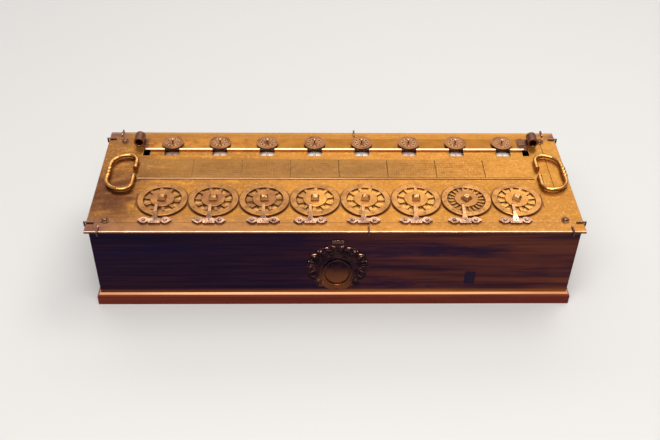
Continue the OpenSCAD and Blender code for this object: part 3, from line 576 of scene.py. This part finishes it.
def wheel_brass():
    """Dial wheels: dull brown at the left and on dial 7, golden from the middle on, with painted shade on upright
    walls and at the rims.
    """
    s = Shader("wheel_brass", GOLD, 1.0, 0.36)
    cloud = s.even_noise(0.12, detail=4, roughness=0.6)
    fine = s.even_noise(1.5, detail=3)
    x, z = s.axis(0), s.axis(2)
    left_end = s.times(s.span(x, -8.0, -32.0), 0.92)
    dial_seven = s.times(s.span(s.away(x, dial_at[7].x / MM), 18.0, 16.0), 0.65)
    dull = s.math("MAXIMUM", left_end, dial_seven)
    tone = s.mix(s.span(cloud, 0.40, 0.70, 0.0, 0.6), WHEEL_GOLD, WHEEL_SHADE)
    tone = s.tint(tone, WHEEL_DULL, dull, s.span(cloud, 0.3, 0.6, 0.80, 1.0))
    floor = s.span(z, TOP_Z + 0.9, TOP_Z + 0.5)
    tone = s.tint(tone, FLOOR_GOLD, floor, s.span(cloud, 0.3, 0.7, 0.90, 0.55))
    tone = s.tint(tone, FLOOR_DULL, floor, dull, s.span(cloud, 0.42, 0.60, 0.25, 0.75))
    tone = s.tint(tone, WHEEL_SPECK, s.span(fine, 0.62, 0.82, 0.0, 0.45))
    # Painted shade on upright walls
    tone = s.tint(tone, WHEEL_WALL_SHADE, s.span(s.facing(2), 0.45, 0.15), 0.92)
    # Painted shade in the gap at the wheel's rim, strongest on the dull wheels
    far = from_centre(s, x, s.axis(1), dial_at[1].y / MM)
    rim = s.times(s.span(far, WHEEL_R - 1.25, WHEEL_R - 0.75), s.span(z, TOP_Z, TOP_Z + 0.4))
    tone = s.tint(tone, RIM_GAP_SHADE, rim, s.math("ADD", s.times(dull, 0.60), 0.25))
    tone = hub_marks(s, tone, x, z)
    tone = s.tint(tone, PALE, s.span(s.edge(0.3), 0.2, 0.9), 0.35)
    s.colour(tone)
    s.rough(s.span(cloud, 0.3, 0.7, 0.34, 0.50))
    s.bump((cloud, 0.10), (fine, 0.03), rounded_mm=0.18)
    return s.material


# Wood: the filled square mortise in the front board, and the height from which the base's bevel takes its painted
# highlight, in millimetres
MORTISE_X, MORTISE_Z = (97.2, 105.4), (18.8, 31.6)
FRONT_Y = -58.0
BEVEL_FROM_Z = 8.8
WOOD_BLACK = (0.0018, 0.0005, 0.0130)
WOOD_PLUM = (0.0200, 0.0045, 0.0150)
WOOD_RED = (0.140, 0.034, 0.0140)
WOOD_BLUE = (0.0070, 0.0030, 0.0220)
WOOD_FOOT = (0.330, 0.100, 0.014)
MORTISE_BLUE = (0.010, 0.006, 0.022)
WOOD_EDGE = (0.10, 0.036, 0.016)
BASE_REDS = (0.110, 0.0130, 0.0070), (0.165, 0.0260, 0.0130)
BASE_DARK = (0.075, 0.010, 0.007)
BEVEL_HIGHLIGHT_ORANGES = (1.0, 0.40, 0.15), (1.0, 0.62, 0.37)
BEVEL_HIGHLIGHT_END = (0.50, 0.155, 0.045)
BASE_EDGE = (0.40, 0.14, 0.05)


def board_noise(s, along, across, **look):
    """Grain that runs along X, and along Y on the two ends."""
    ends = s.span(s.facing(0), 0.5, 0.7)
    length, width = s.noise((along, across, across), **look), s.noise((across, along, across), **look)
    return s.math("ADD", length, s.times(ends, s.math("SUBTRACT", width, length)))


def dark_wood():
    """Stained boards: blue-black at the left, red-brown towards the right and lower down, with a filled mortise.
    """
    s = Shader("dark_wood", WOOD_PLUM, 0.0, 0.50)
    s.shine(0.05)
    grain = board_noise(s, 0.010, 0.55, detail=6, roughness=0.70, distortion=0.3)
    band = board_noise(s, 0.006, 0.075, detail=3, roughness=0.6)
    wear = board_noise(s, 0.011, 0.060, detail=4, roughness=0.60)
    pores = board_noise(s, 0.05, 3.0, detail=2)
    x, y, z = s.axis(0), s.axis(1), s.axis(2)
    tone = s.mix(s.span(grain, 0.36, 0.64), WOOD_BLACK, WOOD_PLUM)
    low = s.math("ADD", s.times(s.span(z, 40.0, 12.0, 0.2, 1.0), 0.40), 0.34)
    fade = s.math("ADD", s.times(s.span(x, -50.0, 70.0), low), 0.02)
    streaks = s.times(s.span(band, 0.30, 0.62, 0.3, 1.5), s.span(grain, 0.30, 0.60, 0.6, 1.1))
    tone = s.tint(tone, WOOD_RED, fade, streaks)
    tone = s.tint(tone, WOOD_BLUE, s.span(wear, 0.46, 0.68, 0.0, 0.85))
    foot = s.times(s.span(z, 14.5, 11.0), s.span(grain, 0.3, 0.6, 0.4, 0.9))
    tone = s.tint(tone, WOOD_FOOT, foot, s.span(x, -130.0, 40.0, 0.4, 1.0))
    mortise = s.times(between(s, x, MORTISE_X), between(s, z, MORTISE_Z), s.span(y, FRONT_Y + 1.0, FRONT_Y))
    tone = s.tint(tone, MORTISE_BLUE, mortise, 0.9)
    tone = s.tint(tone, WOOD_EDGE, s.span(s.edge(0.9), 0.2, 0.9, 0.0, 0.25))
    s.colour(tone)
    s.rough(s.span(wear, 0.3, 0.7, 0.42, 0.60))
    s.bump((band, 0.4), (grain, 0.12), (pores, 0.04), (mortise, 0.1), rounded_mm=0.6)
    return s.material


def base_wood():
    """Polished red-brown base board, with a painted highlight along the upper part of its bevel."""
    s = Shader("base_wood", BASE_REDS[0], 0.0, 0.40)
    s.shine(0.08)
    grain = board_noise(s, 0.008, 0.8, detail=5, roughness=0.65, distortion=0.2)
    cloud = board_noise(s, 0.016, 0.08, detail=4)
    up, z = s.normal_axis(2), s.axis(2)
    slanting = s.times(s.span(up, 0.2, 0.5), s.span(up, 0.99, 0.85))
    bevel = s.times(slanting, s.span(z, BEVEL_FROM_Z, BEVEL_FROM_Z + 0.7))
    tone = s.mix(s.span(grain, 0.35, 0.7), *BASE_REDS)
    tone = s.tint(tone, BASE_DARK, s.span(cloud, 0.45, 0.70, 0.0, 0.5))
    # Painted highlight along the upper part of the bevel, darker towards the ends
    bright = s.mix(s.span(grain, 0.3, 0.7), *BEVEL_HIGHLIGHT_ORANGES)
    bright = s.tint(bright, BEVEL_HIGHLIGHT_END, s.span(s.size(s.axis(0)), 90.0, 178.0, 0.0, 0.65))
    tone = s.tint(tone, bright, bevel)
    tone = s.tint(tone, BASE_EDGE, s.span(s.edge(0.5), 0.3, 0.9, 0.0, 0.2))
    s.colour(tone)
    s.rough(s.span(cloud, 0.3, 0.7, 0.32, 0.48))
    s.bump((grain, 0.08), (cloud, 0.2), rounded_mm=0.4)
    return s.material


# Along a drum: its paper, and the band of painted shadow between the two rows of figures, in millimetres
DRUM_Y = (28.3, 49.7)
SHADOW_BAND_Y = (39.0, 42.6)
FRESH_PAPER, AGED_PAPER = (1.0, 0.88, 0.82), (0.95, 0.62, 0.52)
PAPER_STAIN = (0.80, 0.50, 0.38)
PAPER_BROWN = (0.40, 0.165, 0.095)
PAPER_FIBRE = (0.60, 0.38, 0.27)
ROW_GAP_SHADOW = (0.010, 0.006, 0.010)
DRUM_BRASS = (0.42, 0.23, 0.08)


def drum_paper():
    """Aged paper, brownest on drum 1, with a painted shadow band between its rows, and brass off the curved faces.
    """
    s = Shader("drum_paper", AGED_PAPER, 0.0, 0.75)
    fibre = s.even_noise(0.8, detail=4)
    stain = s.noise((0.10, 0.16, 0.16), detail=4)
    aged = s.noise((0.030, 0.004, 0.004), detail=1)
    x, y = s.axis(0), s.axis(1)
    tone = s.mix(s.span(aged, 0.42, 0.56), FRESH_PAPER, AGED_PAPER)
    tone = s.tint(tone, PAPER_STAIN, s.span(stain, 0.5, 0.8, 0.0, 0.25))
    tone = s.tint(tone, PAPER_BROWN, s.span(x, -88.0, -112.0, 0.0, 0.75))
    tone = s.tint(tone, PAPER_FIBRE, s.span(fibre, 0.5, 0.8, 0.0, 0.15))
    # Painted shadow band between the rows
    tone = s.tint(tone, ROW_GAP_SHADOW, between(s, y, SHADOW_BAND_Y, 0.25), 0.97)
    curved = s.times(between(s, y, DRUM_Y, 0.1), s.span(s.facing(1), 0.5, 0.3))
    s.colour(s.mix(curved, DRUM_BRASS, tone))
    s.link(s.outside(curved), s.bsdf.inputs["Metallic"])
    s.rough(s.span(fibre, 0.3, 0.7, 0.62, 0.82))
    s.bump((fibre, 0.02), (stain, 0.05))
    return s.material


def ink():
    """Black ink of the drums' figures, a little worn."""
    fresh, faded = (0.020, 0.012, 0.010), (0.10, 0.06, 0.045)
    s = Shader("ink", fresh, 0.0, 0.6)
    worn = s.even_noise(2.2, detail=3)
    s.colour(s.mix(s.span(worn, 0.4, 0.75), fresh, faded))
    s.rough(s.span(worn, 0.3, 0.7, 0.5, 0.75))
    return s.material


def engraving():
    """Dark wax in the engraved figures of the rings, half worn away."""
    wax, bare = (0.085, 0.036, 0.018), (0.30, 0.145, 0.060)
    s = Shader("engraving", wax, 0.4, 0.6)
    worn = s.even_noise(1.1, detail=3)
    s.colour(s.mix(s.span(worn, 0.35, 0.70), wax, bare))
    s.rough(s.span(worn, 0.3, 0.7, 0.5, 0.75))
    return s.material


def steel():
    """Turned steel of the cross shafts, with brown stains."""
    clean, stained = (0.40, 0.37, 0.34), (0.20, 0.15, 0.12)
    s = Shader("arbor_steel", clean, 1.0, 0.35)
    cloud = s.even_noise(0.2, detail=4)
    s.colour(s.mix(s.span(cloud, 0.4, 0.7), clean, stained))
    s.rough(s.span(cloud, 0.3, 0.7, 0.28, 0.45))
    s.bump((cloud, 0.05), rounded_mm=0.2)
    return s.material


# Worked brasses: base, shade and light colour, roughness, and what else differs; walls sets the painted shade on
# upright walls
WORKED = {
    "ring_brass": ((0.60, 0.285, 0.085), (0.38, 0.170, 0.055), PALE, 0.42,
                   {"walls": 0.72, "worn": 0.40, "extra": row_gold}),
    "stop_metal": ((0.74, 0.42, 0.26), (0.24, 0.100, 0.062), (1.0, 0.72, 0.54), 0.28,
                   {"grain": 2.0, "shaded": (0.42, 0.62), "walls": 0.75, "extra": stop_marks}),
    "bar_brass": ((0.54, 0.22, 0.036), (0.36, 0.145, 0.034), (0.90, 0.58, 0.28), 0.36,
                  {"edge_mm": 0.5, "extra": bar_marks}),
    "disc_brass": ((0.38, 0.165, 0.062), (0.20, 0.078, 0.036), (0.62, 0.34, 0.17), 0.42,
                   {"walls": 0.7, "extra": disc_marks}),
    "handle_brass": ((0.72, 0.34, 0.095), (0.50, 0.20, 0.050), (1.0, 0.72, 0.40), 0.18,
                     {"grain": 0.6, "walls": 0.8}),
    "frame_brass": ((0.48, 0.27, 0.09), (0.24, 0.12, 0.05), PALE, 0.42, {}),
    "lever_brass": ((0.45, 0.25, 0.09), (0.22, 0.11, 0.05), PALE, 0.42, {}),
    "relief_brass": ((0.038, 0.014, 0.018), (0.005, 0.002, 0.009), (0.40, 0.20, 0.13), 0.34,
                     {"edge_mm": 0.22, "shaded": (0.34, 0.58), "extra": relief_marks}),
}


def slot_materials():
    """One material for each slot of the record."""
    made = {"plate_brass": plate_brass(), "wheel_brass": wheel_brass(), "case_wood": dark_wood(),
            "base_wood": base_wood(), "drum_paper": drum_paper(), "arbor_steel": steel()}
    for name, (base, shade, light, rough, look) in WORKED.items():
        made[name] = worked_brass(name, base, shade, light, rough, **look)
    return made


MATERIALS = slot_materials()
INK = ink()
ENGRAVING = engraving()


def dress_frame():
    """Gives each CAD node the material of its slot in the record."""
    slots = {row["node"]: row["material_slot"] for row in frame["record"]["subparts"]}
    for name, node in nodes.items():
        node.data.materials.clear()
        node.data.materials.append(MATERIALS[slots[name]])


# Floor and light. A lamp has its place, what it is aimed at, its two sizes in metres, watts and colour
FLOOR = (0.59, 0.585, 0.58)
FLOOR_HALF = 4.0
WORLD, WORLD_STRENGTH = (0.86, 0.86, 0.88), 0.45
LAMPS = {
    "key": ((0.60, 0.30, 1.25), (0.0, 0.0, 0.05), (0.7, 0.5), 6.0, (1.0, 0.96, 0.90)),
    "front": ((-0.15, -0.85, 1.25), (0.0, 0.0, 0.04), (1.4, 0.4), 12.0, (1.0, 0.97, 0.93)),
    "rear": ((-0.05, 1.1, 1.05), (0.0, 0.0, 0.05), (2.4, 0.5), 7.0, (1.0, 0.96, 0.92)),
    "top": ((0.0, -0.30, 1.50), (0.0, 0.03, 0.07), (0.9, 0.3), 9.0, (1.0, 0.96, 0.91)),
}


def add_stage():
    """Plain pale floor and an even pale world."""
    mesh = bpy.data.meshes.new("floor")
    r = FLOOR_HALF
    mesh.from_pydata([(-r, -r, 0), (r, -r, 0), (r, r, 0), (-r, r, 0)], [], [(0, 1, 2, 3)])
    floor = bpy.data.objects.new("floor", mesh)
    scene.collection.objects.link(floor)
    s = Shader("floor", FLOOR, 0.0, 0.85)
    s.shine(0.2)
    mesh.materials.append(s.material)
    world = bpy.data.worlds.new("studio")
    world.use_nodes = True
    back = world.node_tree.nodes["Background"]
    back.inputs["Color"].default_value = (*WORLD, 1)
    back.inputs["Strength"].default_value = WORLD_STRENGTH
    scene.world = world


def add_lamps():
    """Soft rectangular lamps."""
    for name, (at, to, size, watts, colour) in LAMPS.items():
        light = bpy.data.lights.new(name, "AREA")
        light.shape = "RECTANGLE"
        light.size, light.size_y = size
        light.energy = watts
        light.color = colour
        holder = bpy.data.objects.new(name, light)
        holder.location = at
        holder.rotation_euler = (Vector(to) - Vector(at)).to_track_quat("-Z", "Y").to_euler()
        scene.collection.objects.link(holder)


# Edges sharper than this stay sharp on a smooth piece
SHARP_ANGLE = math.radians(35)


def make_piece(name, verts, faces, material, body, smooth=True):
    """A new piece that rides on a body and has the given material."""
    mesh = bpy.data.meshes.new(name)
    mesh.from_pydata([tuple(v) for v in verts], [], faces)
    mesh.validate()
    mesh.update()
    mesh.materials.append(material)
    if smooth:
        mesh.shade_smooth()
        mesh.set_sharp_from_angle(angle=SHARP_ANGLE)
    ob = bpy.data.objects.new(name, mesh)
    scene.collection.objects.link(ob)
    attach(ob, body)
    return ob


class Solid:
    """Vertices and faces of one piece, gathered from simple closed forms."""

    def __init__(self):
        self.verts, self.faces = [], []

    def join(self, verts, faces):
        start = len(self.verts)
        self.verts += [Vector(v) for v in verts]
        self.faces += [tuple(i + start for i in face) for face in faces]

    def ring(self, points, radius, sides):
        """A round tube along a closed row of points."""
        points = [Vector(p) for p in points]
        n = len(points)
        verts = []
        side = None
        for k, p in enumerate(points):
            along = (points[(k + 1) % n] - points[(k - 1) % n]).normalized()
            if side is None:
                side = along.orthogonal().normalized()
            side = (side - along * side.dot(along)).normalized()
            other = along.cross(side)
            for j in range(sides):
                t = 2 * math.pi * j / sides
                verts.append(p + side * (radius * math.cos(t)) + other * (radius * math.sin(t)))
        faces = []
        for k in range(n):
            for j in range(sides):
                a, b = k * sides + j, k * sides + (j + 1) % sides
                c, d = ((k + 1) % n) * sides + (j + 1) % sides, ((k + 1) % n) * sides + j
                faces.append((a, b, c, d))
        self.join(verts, faces)

    def lathe(self, profile, centre, axis_x, axis_y, axis_z, segments, squash=(1, 1)):
        """A closed turned form. The profile is pairs of radius and height, from the foot to the tip."""
        verts = []
        for r, h in profile:
            for j in range(segments):
                t = 2 * math.pi * j / segments
                across = axis_x * (r * squash[0] * math.cos(t)) + axis_y * (r * squash[1] * math.sin(t))
                verts.append(centre + across + axis_z * h)
        faces = []
        for k in range(len(profile) - 1):
            for j in range(segments):
                a, b = k * segments + j, k * segments + (j + 1) % segments
                faces.append((a, b, b + segments, a + segments))
        faces.append(tuple(reversed(range(segments))))
        last = (len(profile) - 1) * segments
        faces.append(tuple(range(last, last + segments)))
        self.join(verts, faces)


def glyphs():
    """Outlines of the ten figures, each one unit high and centred, as thin closed meshes."""
    made = {}
    for figure in "0123456789":
        curve = bpy.data.curves.new("figure", "FONT")
        curve.body = figure
        curve.resolution_u = 3
        curve.extrude = 0.5
        ob = bpy.data.objects.new("figure", curve)
        scene.collection.objects.link(ob)
        bpy.context.view_layer.update()
        mesh = bpy.data.meshes.new_from_object(ob.evaluated_get(bpy.context.evaluated_depsgraph_get()))
        co = [v.co.copy() for v in mesh.vertices]
        low = Vector((min(c.x for c in co), min(c.y for c in co)))
        high = Vector((max(c.x for c in co), max(c.y for c in co)))
        height = high.y - low.y
        mid = (low + high) / 2
        made[figure] = ([((c.x - mid.x) / height, (c.y - mid.y) / height, c.z) for c in co],
                        [tuple(p.vertices) for p in mesh.polygons])
        bpy.data.objects.remove(ob)
        bpy.data.curves.remove(curve)
        bpy.data.meshes.remove(mesh)
    return made


GLYPHS = glyphs()
FIGURE_STEP = 0.62
FIGURE_DEPTH = 0.04 * MM


def write_number(solid, number, height, place, narrow=1.0):
    """Adds a number's figures. place(u, v, w) gives the point for a place on the flat writing line."""
    text = str(number)
    for k, figure in enumerate(text):
        shift = (k - (len(text) - 1) / 2) * FIGURE_STEP * height * narrow
        verts, faces = GLYPHS[figure]
        points = [place(shift + u * height * narrow, v * height, w * FIGURE_DEPTH) for u, v, w in verts]
        solid.join(points, faces)


# Figures on the rings: the circle they stand on, their height, and how much smaller they are where they
# are more than ten
RING_MID = 16.3 * MM
RING_FIGURE = 2.2 * MM
RING_LOWER, RING_NARROWER = 0.8, 0.7


def ring_figures():
    """Plain numbers round each fixed ring, as thin inlay in its face."""
    for i in DIALS:
        solid = Solid()
        n = count(i)
        height = RING_FIGURE if n == TEN else RING_FIGURE * RING_LOWER
        narrow = 1.0 if n == TEN else RING_NARROWER
        for k in range(n):
            turn = -2 * math.pi * (k + 0.5) / n + math.pi
            out = Vector((math.sin(turn), math.cos(turn), 0))
            side = Vector((out.y, -out.x, 0))
            centre = Vector((dial_at[i].x, dial_at[i].y, ring_high.z)) + out * RING_MID

            def place(u, v, w):
                return centre + side * u + out * v + Vector((0, 0, w))
            write_number(solid, k, height, place, narrow)
        name = f"ring_figures_{i}"
        make_piece(name, solid.verts, solid.faces, ENGRAVING, "case", smooth=False)


# Figures on the drums: their two rows, from the windows' front edge, and their height
WINDOW_FRONT = plate_high.y - 31.8 * MM
FRONT_ROW, REAR_ROW = 5.2 * MM, 17.3 * MM
DRUM_FIGURE = 2.9 * MM
DRUM_NARROWER = 0.6


def drum_figures():
    """Two rows of figures round each drum: the count in front and its complement behind."""
    for i in DIALS:
        body = f"number_drum_{i}"
        low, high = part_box(body)
        solid = Solid()
        n = count(i)
        axis = drum_at[i]
        radius = (high.x - low.x) / 2
        narrow = 1.0 if n == TEN else DRUM_NARROWER
        for k in range(n):
            turn = 2 * math.pi * k / n
            for number, y in ((k, WINDOW_FRONT + FRONT_ROW), (n - 1 - k, WINDOW_FRONT + REAR_ROW)):

                def place(u, v, w):
                    a = turn + u / radius
                    r = radius + w
                    return Vector((axis.x + r * math.sin(a), y + v, axis.z + r * math.cos(a)))
                write_number(solid, number, DRUM_FIGURE, place, narrow)
        make_piece(f"drum_figures_{i}", solid.verts, solid.faces, INK, body, smooth=False)


# Relief on the front board. Its places are in millimetres from its middle: U to the right, V up, W outwards
RELIEF_AT = Vector(((relief_low.x + relief_high.x) / 2, relief_high.y, (relief_low.z + relief_high.z) / 2))
RELIEF_AXES = Vector((1, 0, 0)), Vector((0, 0, 1)), Vector((0, -1, 0))
RELIEF_W = (relief_high.x - relief_low.x) / 2 / MM
RELIEF_H = (relief_high.z - relief_low.z) / 2 / MM
BACK_T = 0.5
SUNK = 0.15


def on_relief(u, v, w):
    """Point of the relief in metres."""
    return RELIEF_AT + Vector((u, -w, v)) * MM


def ridge(solid, spine, widths, rises, sides=8):
    """A half-round ridge along a spine of (u, v) points, flat underneath and sunk a little in the back."""
    n = len(spine)
    verts = []
    for k, (u, v) in enumerate(spine):
        a = spine[max(k - 1, 0)]
        b = spine[min(k + 1, n - 1)]
        length = math.hypot(b[0] - a[0], b[1] - a[1]) or 1.0
        su, sv = -(b[1] - a[1]) / length, (b[0] - a[0]) / length
        for j in range(sides + 1):
            t = math.pi * j / sides
            off = widths[k] * math.cos(t)
            verts.append(on_relief(u + su * off, v + sv * off, BACK_T - SUNK + rises[k] * math.sin(t)))
    row = sides + 1
    faces = []
    for k in range(n - 1):
        for j in range(sides):
            a = k * row + j
            faces.append((a, a + 1, a + row + 1, a + row))
        faces.append((k * row + sides, k * row, (k + 1) * row, (k + 1) * row + sides))
    faces.append(tuple(reversed(range(row))))
    faces.append(tuple(range((n - 1) * row, n * row)))
    solid.join(verts, faces)


LEAF_STEPS = 10
LEAF_LEAST = 0.05
RIB_WIDTH, RIB_RISE = 0.22, 1.35


def leaf(solid, root, angle, length, width, rise, bend=0.0):
    """A pointed leaf that grows from its root, with a raised middle rib."""
    u, v = root
    spine, widths, rises = [], [], []
    for k in range(LEAF_STEPS + 1):
        t = k / LEAF_STEPS
        a = angle + bend * t
        spine.append((u, v))
        u += length / LEAF_STEPS * math.cos(a)
        v += length / LEAF_STEPS * math.sin(a)
        swell = math.sin(math.pi * min(0.06 + 0.94 * t, 0.985)) ** 0.75
        widths.append(max(width * swell, LEAF_LEAST))
        rises.append(max(rise * (0.35 + 0.65 * t) * swell, LEAF_LEAST))
    ridge(solid, spine, widths, rises)
    ridge(solid, spine[1:-1], [w * RIB_WIDTH for w in widths[1:-1]], [r * RIB_RISE for r in rises[1:-1]])


def scroll(solid, centre, start, turns, outer, width, rise, hand=1):
    """A scroll that winds in to a bead at its centre."""
    steps = int(22 * abs(turns)) + 6
    spine, widths, rises = [], [], []
    for k in range(steps + 1):
        t = k / steps
        r = outer * (1 - t) ** 0.85 + 0.35 * width
        a = start + hand * 2 * math.pi * turns * t
        spine.append((centre[0] + r * math.cos(a), centre[1] + r * math.sin(a)))
        taper = 0.45 + 0.55 * math.sin(math.pi * (0.15 + 0.75 * t))
        widths.append(width * taper)
        rises.append(rise * taper)
    ridge(solid, spine, widths, rises)
    bead(solid, centre, width * 1.25, rise * 1.25)


def bead(solid, at, radius, rise):
    """A small round dome on the back plate."""
    angles = [math.pi / 2 * k / 5 for k in range(5)]
    dome = [(radius * math.cos(a), rise * math.sin(a)) for a in angles]
    profile = [(radius, -0.2)] + dome + [(radius * 0.12, rise)]
    solid.lathe([(r * MM, h * MM) for r, h in profile], on_relief(*at, BACK_T), *RELIEF_AXES, 14)


SCALLOP_POINTS, SCALLOPS = 168, 14


def relief_back(solid):
    """Thin back plate with a scalloped outline."""
    n = SCALLOP_POINTS
    outline = []
    for k in range(n):
        a = 2 * math.pi * k / n
        scallop = 0.915 + 0.055 * abs(math.cos(SCALLOPS / 2 * a))
        outline.append((RELIEF_W * scallop * math.cos(a), RELIEF_H * scallop * math.sin(a)))
    verts = [on_relief(u, v, w) for w in (0, BACK_T) for u, v in outline]
    faces = [(k, (k + 1) % n, n + (k + 1) % n, n + k) for k in range(n)]
    faces.append(tuple(reversed(range(n))))
    faces.append(tuple(range(n, 2 * n)))
    solid.join(verts, faces)


# Boss: its middle, its half width and half height, its dome as shares of these and rises, and its beads
BOSS_V, BOSS_W, BOSS_H = -4.6, 10.4, 12.6
DOME = [(1.0, -0.2), (1.0, 0.2), (0.94, 0.55), (0.80, 0.85), (0.55, 1.15), (0.28, 1.30), (0.02, 1.35)]
DOME_IN, BEADS_OUT = 1.2, 1.7
RIM_POINTS, BOSS_BEADS = 64, 44


def boss(solid):
    """Plain domed oval with a raised rim and a row of small beads round it."""
    squash = (BOSS_W - DOME_IN, BOSS_H - DOME_IN)
    dome = [(r * MM, h * MM) for r, h in DOME]
    solid.lathe(dome, on_relief(0, BOSS_V, BACK_T), *RELIEF_AXES, 56, squash)
    rim = []
    for k in range(RIM_POINTS):
        a = 2 * math.pi * k / RIM_POINTS
        rim.append(on_relief(BOSS_W * math.cos(a), BOSS_V + BOSS_H * math.sin(a), BACK_T + 0.55))
    solid.ring(rim, 0.62 * MM, 8)
    for k in range(BOSS_BEADS):
        a = 2 * math.pi * k / BOSS_BEADS
        at = ((BOSS_W + BEADS_OUT) * math.cos(a), BOSS_V + (BOSS_H + BEADS_OUT) * math.sin(a))
        bead(solid, at, 0.55, 0.75)


# Scrolls on the right half: u, v, start and its swing to the side in degrees, turns, radius, width, rise
# and winding
SCROLLS = (
    (6.2, 15.2, 90, -100, 1.35, 4.2, 0.85, 1.3, -1),
    (16.4, 9.6, 90, -60, 1.30, 4.0, 0.85, 1.3, 1),
    (17.6, -4.0, 90, 40, 1.25, 3.5, 0.80, 1.2, -1),
    (13.2, -15.6, -90, -30, 1.20, 3.1, 0.75, 1.1, 1),
)
# Leaves round the right half: place and direction in degrees, length, width and bend
LEAVES = ((84, 5.0, 1.5, -0.5), (70, 5.4, 1.7, -0.5), (55, 4.6, 1.5, -0.6), (38, 5.2, 1.7, -0.5),
          (22, 4.6, 1.5, -0.6), (6, 4.8, 1.6, -0.5), (-10, 4.4, 1.5, -0.5), (-26, 4.6, 1.6, 0.5),
          (-42, 4.4, 1.5, 0.5), (-58, 4.0, 1.4, 0.5), (-74, 3.6, 1.3, 0.5))
LEAF_RISE, LEAF_IN = 1.5, 6.4
OUTER_BEADS, OUTER_BEAD_IN = (80, 66, 50, 34, 18, 2), 1.5
CROWN_LEAVES, CROWN_V = (-50, -25, 0, 25, 50), 10.0


def relief_half(solid, hand):
    """Scrolls, leaves and beads of the right half, where hand is 1, or of the left half, where it is -1."""
    for u, v, start, swing, turns, outer, width, rise, wind in SCROLLS:
        angle = math.radians(start + hand * swing)
        scroll(solid, (hand * u, v), angle, turns, outer, width, rise, hand * wind)
    for degrees, length, width, bend in LEAVES:
        t = math.radians(degrees)
        root = (hand * (RELIEF_W - LEAF_IN) * math.cos(t), (RELIEF_H - LEAF_IN) * math.sin(t))
        leaf(solid, root, t if hand > 0 else math.pi - t, length, width, LEAF_RISE, hand * bend)
    for degrees in OUTER_BEADS:
        t = math.radians(degrees)
        u, v = (RELIEF_W - OUTER_BEAD_IN) * math.cos(t), (RELIEF_H - OUTER_BEAD_IN) * math.sin(t)
        bead(solid, (hand * u, v), 0.6, 1.0)


def relief():
    """Scrolls and leaves round a plain boss, which take the place of the arms in the photograph."""
    solid = Solid()
    relief_back(solid)
    boss(solid)
    for hand in (-1, 1):
        relief_half(solid, hand)
    for degrees in CROWN_LEAVES:
        leaf(solid, (0, CROWN_V), math.radians(90 + degrees), 5.6, 1.2, 1.2)
    piece = make_piece("relief", solid.verts, solid.faces, MATERIALS["relief_brass"], "case")
    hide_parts("front_cartouche")


add_camera()
dress_frame()
add_stage()
add_lamps()
ring_figures()
drum_figures()
relief()

scene.view_settings.view_transform = "Standard"
